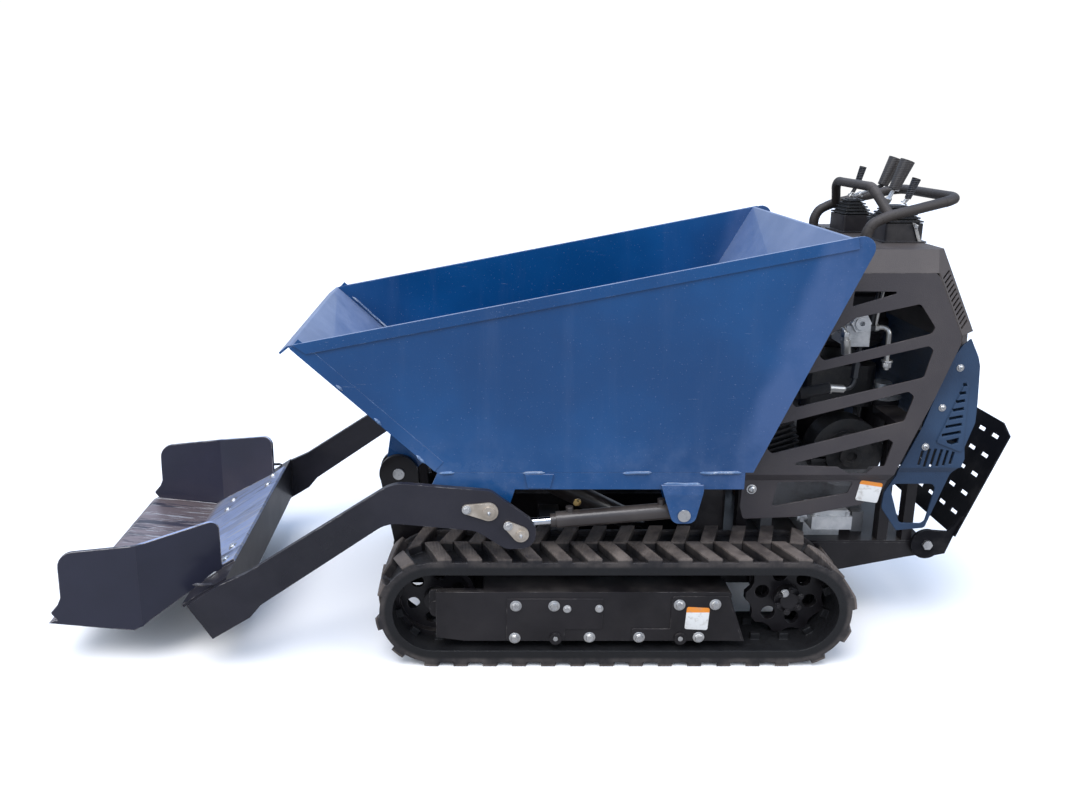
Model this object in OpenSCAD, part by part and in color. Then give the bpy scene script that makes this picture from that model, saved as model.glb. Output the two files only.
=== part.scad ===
/* [Node] */
// which sub-part to draw, or all of them

/* [Tracks] */
// height of the centres of the front and rear wheels over the ground
wheel_z = 145; // [135:1:160]
// front idler centre, forward of the middle
idler_x = 255; // [220:1:290]
// rear sprocket centre
sprocket_x = -626; // [-660:1:-590]
// pitch of the rubber track's links
track_pitch = 72; // [60:1:90]
// outer width over the two tracks
track_span = 750; // [700:1:800]
// width of one rubber track
track_w = 180; // [150:1:230]
// number of links round a track
pitch_n = 34; // [30:1:38]
// rubber band thickness without lugs
band_t = 20; // [15:1:26]
// height of the lugs over the band
lug_h = 23; // [16:1:30]
// length of a lug along the track
lug_l = 34; // [24:1:44]
// slant of a lug across the track
lug_slant = 18; // [0:1:30]
// height of the inner guide horns
horn_h = 16; // [10:1:20]
// distance of the guide horns from the track's middle line
horn_y = 34; // [26:1:45]

// width of the raised strip along each edge of a track
rim_w = 8; // [5:1:14]
// height of that strip over the band
rim_h = 12; // [6:1:16]

/* [Undercarriage] */
// track frame box, front end
tframe_x0 = 252; // [200:1:260]
// track frame box, rear end at its top
tframe_x1 = -461; // [-490:1:-420]
// slope of the rear end, top to bottom
tframe_slope = 44; // [0:1:60]
// track frame box, bottom
tframe_z0 = 64; // [58:1:80]
// track frame box, top
tframe_z1 = 196; // [180:1:210]
// width of the track frame box
tframe_w = 146; // [130:1:160]
// plate thickness of the track frame
tframe_t = 10; // [6:1:14]
// chamfer at the lower front corner
tframe_cham = 70; // [30:1:90]
// track rollers, outer radius
roller_r = 30; // [24:1:36]
// track rollers along the frame
roller_x = [-41, -347];
// sprocket plate thickness
sprocket_t = 16; // [10:1:24]
// thickness of the cover plates on the frame's outer face
cover_t = 3; // [2:0.5:5]
// ends of the front cover plate and of its small rear part
cover_x = [79, -63, -155];
// front ends of the rear cover plate and of its low strip
rear_cover_x = [-322, -228];
// outer half distance of the idler's fork plates
fork_y = 55; // [50:1:60]
// number of sprocket teeth
sprocket_n = 9; // [7:1:12]
// radius of the ring of holes
sprocket_hole_pcr = 62; // [50:1:70]
// radius of each lightening hole
sprocket_hole_r = 18; // [12:1:22]

/* [Chassis] */
// side gap between a track and the chassis beam
track_gap = 13; // [8:1:30]
// beam thickness across
beam_t = 50; // [30:1:60]
// beam top
beam_z1 = 235; // [225:1:245]
// beam bottom
beam_z0 = 120; // [100:1:150]
// deck plate under the engine, front edge
deck_x0 = -395; // [-420:1:-360]
// rear end of the beams
beam_x1 = -1040; // [-1060:1:-1000]
// tub pivot, forward of the middle
pivot_x = 353; // [330:1:370]
// tub pivot height
pivot_z = 425; // [405:1:440]
// radius of the pivot lobes
lobe_r = 50; // [40:1:60]
// pivot pin radius
pivot_pin_r = 15; // [10:1:20]

/* [Tub] */
// outer half width of the tub
tub_y = 361; // [350:1:375]
// sheet thickness of the tub
tub_t = 5; // [3:0.5:8]
// lower edge of the tub's own sheets
tub_z0 = 505; // [495:1:520]
// floor, front end
floor_x0 = 246; // [230:1:260]
// floor, rear end
floor_x1 = -376; // [-400:1:-350]
// rim, front end
rim_x0 = 583; // [570:1:600]
// rim height at the front
rim_z0 = 812; // [800:1:825]
// rim, rear end
rim_x1 = -681; // [-700:1:-660]
// rim height at the rear
rim_z1 = 1058; // [1045:1:1070]
// width of the folded rim along the front lip
lip_w = 27; // [15:1:35]
// angle of that lip under level
lip_a = 39; // [25:1:50]
// lean of the side sheets' rear edge from upright
side_lean = 24; // [20:1:28]
// radius of the side sheets' upper rear corner
side_corner_r = 28; // [15:1:40]
// height of the folded band along the side rims
rim_band = 26; // [18:1:34]
// width of the front sheet's flanges on the side sheets
front_flange = 30; // [20:1:40]
// skirt lower edge
skirt_z0 = 463; // [455:1:475]
// skirt front end at its lower edge
skirt_x0 = 262; // [250:1:275]
// skirt rear end
skirt_x1 = -479; // [-490:1:-460]
// skirt plate thickness
skirt_t = 10; // [6:1:14]

// height of the cross channels under the floor
channel_h = 34; // [25:1:40]
// where those channels cross
channel_x = [200, 20, -200, -420];

/* [Loader] */
// arm pivot, forward of the middle
arm_px = 124; // [110:1:140]
// arm pivot height
arm_pz = 423; // [415:1:430]
// cylinder pin on the arm
arm_lx = 49; // [40:1:60]
// height of the cylinder pin on the arm
arm_lz = 366; // [355:1:375]
// inner face of the arm plates from the middle plane
arm_y0 = 381; // [379:0.5:390]
// arm plate thickness
arm_t = 14; // [10:1:20]
// arm pin radius
arm_pin_r = 14; // [10:1:18]
// ear pin of the arm cylinder
ear_x = -338; // [-350:1:-320]
// height of that pin
ear_z = 401; // [395:1:410]
// middle plane of the arm cylinders
cyl_y = 338; // [330:1:350]
// arm cylinder barrel radius
cyl_r = 20; // [17:1:26]
// arm cylinder rod radius
rod_r = 10; // [8:1:14]
// rear end of the barrel from the ear pin
cyl_back = 24; // [20:1:30]
// front end of the barrel from the ear pin
cyl_front = 300; // [270:1:320]
// shovel bend between floor and back, forward of the middle
shovel_bend_x = 991; // [975:1:1005]
// height of that bend
shovel_bend_z = 92; // [85:1:105]
// length of the shovel's floor from the bend to its tip
shovel_floor = 211; // [180:1:240]
// rise of the floor towards the tip, degrees
shovel_floor_a = 5.4; // [0:0.1:10]
// length of the shovel's back plate
shovel_back_l = 284; // [260:1:300]
// slope of the back plate, degrees
shovel_back_a = 32.8; // [28:0.1:38]
// where the cheeks start to toe in, behind the bend
cheek_in = 22; // [10:1:40]
// how far the cheeks reach behind the bend
cheek_l = 204; // [180:1:220]
// shovel half width at the front
shovel_y0 = 364; // [355:1:375]
// shovel half width at the back
shovel_y1 = 296; // [285:1:310]
// shovel sheet thickness
shovel_t = 8; // [6:1:12]

// depth of the arms where they meet the shovel
arm_foot = 111; // [90:1:125]
// depth of the arm's eye under the cylinder pin
arm_eye = 40; // [32:1:44]

/* [Tipping cylinder] */
// foot pin, forward of the middle
tip_bx = -297; // [-320:1:-270]
// foot pin height
tip_bz = 204; // [190:1:220]
// rod pin under the tub
tip_tx = 153; // [130:1:170]
// rod pin height
tip_tz = 436; // [425:1:450]
// barrel radius
tip_r = 30; // [24:1:36]
// front end of the barrel from the foot pin
tip_front = 440; // [400:1:460]

/* [Hood] */
// outer half width of the guard panels
hood_y = 290; // [280:1:300]
// guard sheet thickness
hood_t = 4; // [3:0.5:6]
// hood top height
hood_z1 = 1018; // [1010:1:1030]
// height of the upper bend
hood_zb = 967; // [955:1:975]
// inward set of the hood top
hood_in = 32; // [20:1:45]
// front end of the hood top
hood_x0 = -740; // [-760:1:-730]
// rear edge of the hood top
hood_x1 = -945; // [-960:1:-930]

// lean of the rear screen from upright, degrees
screen_a = 25.3; // [20:0.1:30]
// width of the chamfer at the screen's two rear corners
screen_cham = 50; // [30:1:60]
// lower edge of the screen
screen_z0 = 818; // [800:1:830]
// number of fine ribs in a corner chamfer
rib_n = 12; // [6:1:14]
// height of the guard panels' lower fold
fold_z = 470; // [460:1:480]
// outer half width of the rear guard
rear_y = 270; // [260:1:280]
// shell thickness of the rear guard
rear_t = 4; // [3:0.5:6]
// number of louvres in the rear guard's side
louvre_n = 7; // [5:1:8]
// vertical pitch of the louvres
louvre_pitch = 20; // [17:1:22]

/* [Platform] */
// platform hinge, forward of the middle
plat_px = -1018; // [-1025:1:-1000]
// platform hinge height
plat_pz = 237; // [225:1:245]
// how far the platform reaches over the beams' outer faces
plat_over = 18; // [14:1:30]
// platform sheet thickness
plat_t = 4; // [3:0.5:6]
// lower edge of the plate
plat_x0 = -1084; // [-1105:1:-1070]
// height of the lower edge
plat_z0 = 262; // [250:1:275]
// angle of the folded plate behind upright
plat_lean = 21; // [15:1:27]
// length of the plate
plat_len = 316; // [300:1:340]
// height of the corners cut off its upper end
plat_flange = 22; // [15:1:30]

/* [Controls] */
// grip tube radius
grip_r = 12.5; // [10:0.5:15]
// half width of the grip at its feet
grip_y = 171; // [160:1:180]
// height of the lever boxes
box_h = 46; // [35:1:55]
// number of pleats of a lever boot
pleat_n = 5; // [4:1:7]
// height of one pleat
pleat_h = 8; // [6:1:10]

/* [Fits] */
// gap between a wheel and the track around it
wheel_gap = 0.3; // [0.2:0.1:1]
// running fit of the pins, radial
pin_fit = 0.05; // [0.02:0.01:0.1]
// side gap between hinged plates
side_gap = 5; // [5:0.5:8]
// gap between pieces that are bolted or welded together
seat = 0.3; // [0.2:0.1:0.5]

/* [Hidden] */
band_r1 = wheel_z - lug_h;
band_r0 = band_r1 - band_t;
wheel_r = band_r0 - wheel_gap;
run_l = idler_x - sprocket_x;
track_y = track_span / 2 - track_w / 2;
beam_y = track_span / 2 - track_w - track_gap;
lobe_y = beam_y - 6;
plat_y = beam_y + plat_over;
ear_y0 = cyl_y - cyl_r - side_gap - 11;
tframe_y1 = track_span / 2 - 11;
roller_z = wheel_z - band_r0 + roller_r + wheel_gap;
loop_l = pitch_n * track_pitch;
pitch_r = (loop_l - 2 * run_l) / (2 * PI);
black = [0.09, 0.09, 0.10];
rubber = [0.13, 0.12, 0.12];
blue = [0.10, 0.28, 0.52];
grey = [0.26, 0.24, 0.23];
steel = [0.72, 0.71, 0.68];

// one plate in the X Z plane, from y0 towards +Y
module plate(y0, t) {
  translate([0, y0 + t, 0]) rotate([90, 0, 0]) linear_extrude(t) children();
}

// both sides of a piece drawn on the left
module both() {
  children();
  mirror([0, 1, 0]) children();
}

// a straight round bar between two points, its second end may have its own radius
module bar(a, b, r, f = 24, r2 = 0) {
  d = b - a;
  l = norm(d);
  translate(a)
    rotate([0, acos(d[2] / l), atan2(d[1], d[0])])
      cylinder(r1 = r, r2 = r2 == 0 ? r : r2, h = l, $fn = f);
}

// the same path walked back on the other side of the middle plane
function mirrored(pts) = [for (i = [len(pts) - 1 : -1 : 0]) [pts[i][0], -pts[i][1], pts[i][2]]];

// how far a path turns at its corner i, and how far before that corner its bend starts
function bend_turn(p, i) =
  180 - acos(dir(p[i], p[i - 1]) * dir(p[i], p[i + 1]));
function bend_start(p, i) = i == 0 || i == len(p) - 1 ? 0 :
  0.42 * min(norm(p[i] - p[i - 1]), norm(p[i + 1] - p[i]));

// a round tube through several points: sleeves bent round each corner over straight lengths
module tube(pts, r) {
  for (i = [1 : len(pts) - 1]) {
    d = dir(pts[i - 1], pts[i]);
    f = bend_start(pts, i - 1);
    g = bend_start(pts, i);
    bar(pts[i - 1] + d * (f - (f == 0 ? 0 : 1)), pts[i] - d * (g - (g == 0 ? 0 : 1)), r);
  }
  for (i = [1 : len(pts) - 2]) {
    turn = bend_turn(pts, i);
    u = dir(pts[i], pts[i - 1]);
    v = dir(pts[i], pts[i + 1]);
    l = bend_start(pts, i);
    round_r = l / tan(turn / 2);
    middle = pts[i] + (u + v) / norm(u + v) * l / sin(turn / 2);
    x = dir(middle, pts[i] + u * l);
    n = dir([0, 0, 0], cross(x, pts[i] + v * l - middle));
    y = cross(n, x);
    translate(middle) rotate([atan2(y[2], n[2]), -asin(x[2]), atan2(x[1], x[0])])
      rotate_extrude(angle = turn, $fn = 72) translate([round_r, 0]) circle(r = r + 0.3, $fn = 24);
  }
}

// a cross pin along Y
module ypin(x, y0, z, r, l, f = 32) {
  translate([x, y0 + l, z]) rotate([90, 0, 0]) cylinder(r = r, h = l, $fn = f);
}

// unit vector from p to q
function dir(p, q) = (q - p) / norm(q - p);

// a direction turned a quarter, anticlockwise in the side view
function up(u) = u[0] < 0 ? [u[1], -u[0]] : [-u[1], u[0]];

// the arc that rounds the corner p between its neighbours a and b
function round_corner(a, p, b, r, n = 4) =
  let (
    u = dir(p, a),
    v = dir(p, b),
    half = acos(max(-1, min(1, u * v))) / 2,
    c = p + (u + v) / norm(u + v) * (r / sin(half)),
    s = p + u * r / tan(half) - c,
    e = p + v * r / tan(half) - c,
    a0 = atan2(s[1], s[0]),
    d = (atan2(e[1], e[0]) - a0 + 540) % 360 - 180
  )
  [for (k = [0 : n]) c + r * [cos(a0 + d * k / n), sin(a0 + d * k / n)]];

// corner points of a polygon, each corner turned into an arc
function fillet(pts, r, n = 4) = [
  for (i = [0 : len(pts) - 1])
    each round_corner(pts[(i + len(pts) - 1) % len(pts)], pts[i], pts[(i + 1) % len(pts)], r, n)
];

// the same with a radius given as each corner's third number
function soft(pts, n = 5) = [
  for (i = [0 : len(pts) - 1])
    let (
      a = pts[(i + len(pts) - 1) % len(pts)],
      p = pts[i],
      b = pts[(i + 1) % len(pts)]
    )
    each (p[2] == 0 ? [[p[0], p[1]]] : round_corner([a[0], a[1]], [p[0], p[1]], [b[0], b[1]], p[2], n))
];

// a point given as a pair, with a corner radius put behind it
function with(p, r) = [p[0], p[1], r];

// a rectangle with rounded corners, its middle at the origin
module pad(l, w, r) polygon(fillet([[-l / 2, -w / 2], [l / 2, -w / 2], [l / 2, w / 2], [-l / 2, w / 2]], r));

// a polygon moved inwards by d on every side, points listed counter-clockwise
function inset(pts, d) = [
  for (i = [0 : len(pts) - 1])
    let (
      p = pts[i],
      u = dir(pts[(i + len(pts) - 1) % len(pts)], p),
      v = dir(p, pts[(i + 1) % len(pts)]),
      nu = [-u[1], u[0]],
      nv = [-v[1], v[0]]
    )
    p + (nu + nv) * d / (1 + nu * nv)
];

// where a link sits on the loop, s from the middle of the top run
module on_loop(s, r) {
  half = run_l / 2;
  arc = PI * pitch_r;
  u = (s + loop_l) % loop_l;
  mid = (idler_x + sprocket_x) / 2;
  if (u < half) {
    translate([mid + u, 0, wheel_z]) translate([0, 0, r]) children();
  } else if (u < half + arc) {
    translate([idler_x, 0, wheel_z]) rotate([0, (u - half) / pitch_r * 180 / PI, 0]) translate([0, 0, r]) children();
  } else if (u < half + arc + run_l) {
    translate([idler_x - (u - half - arc), 0, wheel_z]) rotate([0, 180, 0]) translate([0, 0, r]) children();
  } else if (u < half + 2 * arc + run_l) {
    turn = 180 + (u - half - arc - run_l) / pitch_r * 180 / PI;
    translate([sprocket_x, 0, wheel_z]) rotate([0, turn, 0]) translate([0, 0, r]) children();
  } else {
    translate([mid - (loop_l - u), 0, wheel_z]) translate([0, 0, r]) children();
  }
}

module stadium(r) {
  translate([idler_x, 0]) circle(r = r, $fn = 96);
  translate([sprocket_x, 0]) circle(r = r, $fn = 96);
  translate([sprocket_x, -r]) square([run_l, 2 * r]);
}

// one lug's outline from the middle line to the edge, e leans it, s picks the side
module lug(s) {
  hw = track_w / 2;
  polygon([
    [lug_slant - lug_l / 2, -2 * s], [lug_slant + lug_l / 2, -2 * s],
    [lug_l / 2 - lug_slant, hw * s], [-lug_l / 2 - lug_slant, hw * s]]);
}

module lugs() {
  for (i = [0 : pitch_n - 1], s = [-1, 1])
    on_loop((i + (1 - s) / 4) * track_pitch, band_r1 - 3) linear_extrude(lug_h + 6) lug(s);
}

// a closed band round the wheels from radius r0 to r1, y0 to y1 across
module loop_band(r0, r1, y0, y1) {
  translate([0, y1, wheel_z]) rotate([90, 0, 0]) linear_extrude(y1 - y0) difference() {
    stadium(r1);
    stadium(r0);
  }
}

module track_body() {
  hw = track_w / 2;
  intersection() {
    lugs();
    translate([0, hw, wheel_z]) rotate([90, 0, 0]) linear_extrude(track_w) stadium(wheel_z);
  }
  loop_band(band_r0, band_r1, -hw, hw);
  // raised strips that join the lugs' outer ends
  loop_band(band_r1 - 4, band_r1 + rim_h, hw - rim_w, hw);
  loop_band(band_r1 - 4, band_r1 + rim_h, -hw, rim_w - hw);
  // guide horns on both sides of the wheels' path
  for (i = [0 : pitch_n - 1], s = [-1, 1])
    on_loop(i * track_pitch, band_r0 - horn_h)
      translate([-11, s * horn_y - 6, 0]) cube([22, 12, horn_h + 2]);
}

module track_left() color(rubber) translate([0, track_y, 0]) track_body();
module track_right() color(rubber) mirror([0, 1, 0]) translate([0, track_y, 0]) track_body();

module track_frame_body() {
  y1 = tframe_y1;
  y0 = y1 - tframe_w;
  low = tframe_z0 + 2;
  wall_x = idler_x - 128;
  for (y = [y0, y1 - tframe_t])
    plate(y, tframe_t) polygon([
      [tframe_x0, tframe_z1], [tframe_x1, tframe_z1], [tframe_x1 - tframe_slope, tframe_z0],
      [tframe_x0 - tframe_cham, tframe_z0], [tframe_x0, tframe_z0 + 10]]);
  // top plate and cross walls, behind the idler and ahead of the sprocket
  translate([tframe_x1, y0 + 1, tframe_z1 - 8]) cube([wall_x + 8 - tframe_x1, tframe_w - 2, 8]);
  for (x = [wall_x, -180, tframe_x1 - 6])
    translate([x, y0 + 1, tframe_z0 + 40]) cube([8, tframe_w - 2, tframe_z1 - tframe_z0 - 44]);
  // cover plates bolted on the outer face
  plate(y1 - 1, cover_t + 1) polygon(soft([
    [cover_x[0], low, 0], [cover_x[0], tframe_z1 - 17, 0], [cover_x[2], tframe_z1 - 17, 0],
    [cover_x[2], tframe_z0 + 34, 6], [cover_x[1], tframe_z0 + 34, 0], [cover_x[1], low, 0]]));
  plate(y1 - 1, cover_t + 1) polygon(soft([
    [rear_cover_x[1], low, 0], [rear_cover_x[1], tframe_z0 + 34, 4], [rear_cover_x[0], tframe_z0 + 34, 0],
    [rear_cover_x[0], tframe_z1 - 10, 12], [tframe_x1 + 1, tframe_z1 - 10, 4], [tframe_x1 - 38, low, 0]]));
  // bosses round the ends of the rollers' axles
  for (x = roller_x)
    difference() {
      ypin(x, y1 - 1, roller_z, 15, cover_t + 6);
      ypin(x, y1 + cover_t + 1, roller_z, 7, 10);
    }
  // fork that holds the idler's axle
  for (y = [track_y - fork_y, track_y + fork_y - 8])
    difference() {
      plate(y, 8) polygon(soft([
        [wall_x + 2, wheel_z + 44, 0], [wall_x + 2, wheel_z - 30, 0],
        [idler_x + 14, wheel_z - 30, 18], [idler_x + 14, wheel_z + 44, 8]]));
      ypin(idler_x, y - 1, wheel_z, 14 + pin_fit, 10);
    }
  // legs to the chassis beam
  for (x = [100, -300])
    translate([x - 45, beam_y + seat, 110]) cube([90, y0 - beam_y + 0.2, 60]);
}

module track_frame_left() color(black) track_frame_body();
module track_frame_right() color(black) mirror([0, 1, 0]) track_frame_body();

module wheel_y(t) {
  rotate([90, 0, 0]) translate([0, 0, -t / 2]) children();
}

module sprockets() color(black) both() translate([sprocket_x, track_y, wheel_z]) {
  wheel_y(sprocket_t) linear_extrude(sprocket_t) difference() {
    polygon([
      for (i = [0 : sprocket_n - 1], k = [0 : 3])
        let (
          a = (i + [-0.36, -0.13, 0.13, 0.36][k]) * 360 / sprocket_n,
          r = wheel_r - [11, 0.1, 0.1, 11][k]
        )
        r * [cos(a), sin(a)]
    ]);
    for (i = [0 : 5])
      rotate(i * 60 + 12) translate([sprocket_hole_pcr, 0]) circle(r = sprocket_hole_r, $fn = 32);
  }
  wheel_y(50) cylinder(r = 34, h = 50, $fn = 48);
  rotate([-90, 0, 0]) cylinder(r = 22, h = 33, $fn = 48);
}

module idlers() color(black) both() translate([idler_x, track_y, wheel_z]) {
  difference() {
    union() {
      wheel_y(44) difference() {
        cylinder(r = wheel_r, h = 44, $fn = 64);
        translate([0, 0, -1]) cylinder(r = wheel_r - 12, h = 46, $fn = 64);
      }
      wheel_y(12) cylinder(r = wheel_r - 6, h = 12, $fn = 64);
      wheel_y(64) cylinder(r = 28, h = 64, $fn = 48);
    }
    for (i = [0 : 5])
      rotate([0, i * 60 + 20, 0]) translate([60, 0, 0]) wheel_y(40) cylinder(r = 16, h = 40, $fn = 32);
  }
  // axle held by the frame's fork
  wheel_y(2 * fork_y + 2) cylinder(r = 14, h = 2 * fork_y + 2, $fn = 32);
}

module track_rollers() color(black) both()
  for (x = roller_x) {
    for (s = [-1, 1])
      ypin(x, track_y + s * 15 - 10, roller_z, roller_r, 20, 48);
    ypin(x, tframe_y1 - tframe_w + tframe_t + seat, roller_z, 12, tframe_w - 2 * (tframe_t + seat));
  }

module drive_motors() color(black) both() {
  l = track_y - 25 - seat - beam_y - seat;
  ypin(sprocket_x, beam_y + seat, wheel_z, 50, l, 48);
  ypin(sprocket_x, beam_y + seat, wheel_z, 64, l * 0.25, 48);
}

module chassis_frame() color(black) {
  both() plate(beam_y - beam_t, beam_t) polygon(soft([
    [370, beam_z0, 20], [370, beam_z1, 0], [beam_x1, beam_z1, 0], [beam_x1, beam_z1 - 30, 8],
    [beam_x1 + 60, beam_z1 - 39, 60], [beam_x1 + 247, beam_z1 - 78, 50], [beam_x1 + 285, beam_z0, 12]]));
  for (x = [300, -60, -560])
    translate([x - 30, -beam_y + 2, beam_z0 + 20]) cube([60, 2 * beam_y - 4, 60]);
}

module pivot_brackets() color(black) both()
  for (y = [lobe_y - 12, lobe_y - 46])
    difference() {
      plate(y, 12) union() {
        translate([pivot_x, pivot_z]) circle(r = lobe_r, $fn = 64);
        polygon([
          [pivot_x - 60, beam_z1 + 0.2], [pivot_x + 15, beam_z1 + 0.2],
          [pivot_x + lobe_r, pivot_z], [pivot_x - lobe_r, pivot_z]]);
      }
      ypin(pivot_x, y - 1, pivot_z, pivot_pin_r + pin_fit, 14);
    }

// a post on the deck at x with an arm out to y and a pad from z0 to z1, the pad set d ahead
module guard_post(x, d, y, z0, z1) {
  translate([x, beam_y - 30, beam_z1 + 6]) cube([26, 28, z1 - beam_z1 - 6]);
  translate([x, beam_y - 30, z1 - 18]) cube([26 + d, y - beam_y + 29, 18]);
  translate([x + d, y - 8, z0]) cube([26, 8, z1 - z0]);
}

module engine_deck() color(black) {
  translate([beam_x1 + 20, -beam_y, beam_z1 + 0.2]) cube([deck_x0 - beam_x1 - 20, 2 * beam_y, 6]);
  both() {
    guard_post(-550, 0, hood_y - hood_t - seat, fold_z + 4, fold_z + 40);
    guard_post(-920, 34, hood_y - hood_t - seat, 566, 602);
    guard_post(-984, 0, rear_y - rear_t - seat, 616, 654);
  }
}

module engine() color([0.12, 0.12, 0.13]) {
  // feet, crankcase and slanting cylinder with its fins
  for (x = [-876, -634])
    translate([x, -130, beam_z1 + 6.4]) cube([30, 260, 56]);
  translate([-880, -104, 292]) cube([280, 208, 150]);
  translate([-650, -60, 436]) rotate([0, 18, 0]) {
    translate([-56, 0, 0]) cube([90, 120, 120]);
    for (k = [0 : 6])
      translate([-70, -14, 14 + k * 15]) cube([118, 148, 6]);
  }
  // fan housing with the starter's cover and its ribs
  ypin(-799, 103, 478, 92, 62, 64);
  ypin(-799, 164, 478, 60, 20, 48);
  difference() {
    ypin(-799, 183, 478, 28, 12, 48);
    ypin(-799, 188, 478, 14, 12, 32);
  }
  for (k = [-1 : 1])
    translate([-764, 164, 474 + k * 14]) cube([60, 16, 7]);
  // air filter, fuel tank and exhaust
  translate([-880, -150, 440]) cube([130, 90, 150]);
  translate([-790, 0, 586]) linear_extrude(110) pad(190, 230, 30);
  translate([-790, 0, 560]) linear_extrude(30) pad(60, 80, 10);
  ypin(-660, -170, 520, 48, 100, 48);
}

module gearbox() color(steel) {
  z = beam_z1 + 6.4;
  // casing under the engine and the silver block at its left end
  translate([-806, -150, z]) cube([96, 300, 44]);
  translate([-813, 120, z + 42]) cube([103, 85, 36]);
  translate([-806, 126, z + 77]) cube([86, 70, 14]);
  for (x = [-804, -720], y = [130, 195])
    translate([x, y, z + 77]) cylinder(r = 6, h = 12, $fn = 24);
  bar([-712, 165, z + 58], [-684, 165, z + 58], 10);
  bar([-700, 165, z + 58], [-690, 165, z + 58], 15, 6);
}

module oil_tank() color(black) {
  translate([-455, 0, beam_z1 + 6.4]) linear_extrude(190) pad(90, 330, 20);
  translate([-455, 60, beam_z1 + 190]) cylinder(r = 26, h = 24, $fn = 48);
}

module valve_block() color(steel) {
  translate([-796, 150, 778]) cube([58, 84, 52]);
  translate([-800, 60, 790]) cube([90, 100, 60]);
  // hanger under the hood top
  translate([-790, 66, 845]) cube([70, 6, hood_z1 - hood_t - seat - 845]);
  translate([-790, 66, hood_z1 - hood_t - seat - 6]) cube([70, 30, 6]);
  difference() {
    union() {
      ypin(-768, 228, 838, 24, 18, 6);
      ypin(-768, 245, 838, 16, 5, 32);
    }
    ypin(-768, 240, 838, 6, 14, 24);
  }
}

module hydraulic_pipes() color([0.2, 0.2, 0.2]) {
  // hose, its crimped end and the pipe up to the valve block
  tube([[-520, 196, 640], [-585, 226, 650], [-640, 236, 660]], 12);
  bar([-636, 236, 659.4], [-709, 240, 676], 14);
  bar([-706, 240, 675.4], [-741, 240, 673], 10);
  tube([[-738, 240, 673], [-758, 240, 676], [-767, 237, 690], [-780, 220, 760], [-780, 220, 778 - seat]], 6);
  bar([-767.6, 235.5, 699], [-773.6, 228, 736], 10, 6);
  // short pipe at the front of the block
  bar([-737.7, 225, 820], [-721, 225, 820], 10, 6);
  tube([[-728, 225, 820], [-729, 248, 818], [-732, 248, 790]], 7);
  bar([-731.6, 248, 798], [-737, 248, 764], 11);
  // pipe that bends down behind the block
  bar([-796.3, 218, 822], [-820, 218, 822], 10, 6);
  tube([[-816, 218, 822], [-834, 224, 824], [-842, 232, 814], [-840, 240, 722]], 6);
  // two thin lines up to the levers
  bar([-803, 219, 826], [-808, 230, 930], 4);
  bar([-813, 219, 826], [-820, 230, 930], 4);
}

module slots2d() {
  polygon(fillet([[-724, 925], [-838, 924], [-722, 888]], 3));
  polygon(fillet([[-734, 862], [-881, 895], [-922, 838], [-915, 823], [-668, 758], [-655, 770], [-676, 821]], 10));
  polygon(fillet([[-630, 726], [-912, 794], [-924, 784], [-909, 716], [-611, 642], [-601, 652]], 10));
  polygon(fillet([[-572, 599], [-876, 682], [-892, 670], [-874, 607], [-563, 524], [-549, 538]], 10));
  polygon(fillet([[-600, 495], [-842, 562], [-854, 553], [-839, 492], [-815, 491], [-796, 473], [-755, 473],
    [-726, 490]], 4));
  polygon(fillet([[-588, 445], [-774, 447], [-763, 415], [-578, 378]], 6));
}

module guard_panel() {
  y0 = hood_y - hood_t;
  difference() {
    intersection() {
      plate(y0 - 60, 80) polygon(soft([
        [-500, 380, 0], [-503, 473, 0], [hood_x0, hood_zb, 0], [-909, hood_zb, 0], [-919, 957, 0],
        [-985, screen_z0, 4], [-986, 797, 6], [-939, 661, 20], [-845, 420, 30], [-800, 385, 10],
        [-640, 350, 20], [-510, 345, 10]]));
      // upright sheet that folds inwards at its foot
      translate([-1000, 0, 0]) rotate([90, 0, 90]) linear_extrude(520) polygon([
        [y0, 1000], [y0, fold_z], [y0 - 14, fold_z - 20], [y0 - 20, 330], [hood_y - 20, 330],
        [hood_y - 14, fold_z - 20], [hood_y, fold_z], [hood_y, 1000]]);
    }
    plate(y0 - 40, 60) slots2d();
  }
}

module side_guard_left() color(grey) guard_panel();
module side_guard_right() color(grey) mirror([0, 1, 0]) guard_panel();

// the room under the hood, d further in than its outside
module hood_room(d) {
  k = d * tan(22.5);
  x1 = hood_x1 - 120;
  slope = atan((hood_z1 - hood_zb) / hood_in);
  m = d * tan((90 - slope) / 2);
  n = d * tan(slope / 2);
  intersection() {
    translate([x1, 0, 0]) rotate([90, 0, 90]) linear_extrude(hood_x0 - x1 + d) polygon([
      [-hood_y + d, screen_z0 - d], [hood_y - d, screen_z0 - d],
      [hood_y - d, hood_zb - m], [hood_y - hood_in - n, hood_z1 - d],
      [n + hood_in - hood_y, hood_z1 - d], [d - hood_y, hood_zb - m]]);
    translate([hood_x1, 0, hood_z1]) rotate([0, screen_a, 0]) translate([0, 0, -400])
      linear_extrude(500) polygon([
        [400, d - hood_y - 20], [screen_cham + 20, d - k - hood_y - 20], [d, k + screen_cham - hood_y],
        [d, hood_y - screen_cham - k], [screen_cham + 20, hood_y + 20 + k - d], [400, hood_y + 20 - d]]);
  }
}

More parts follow.
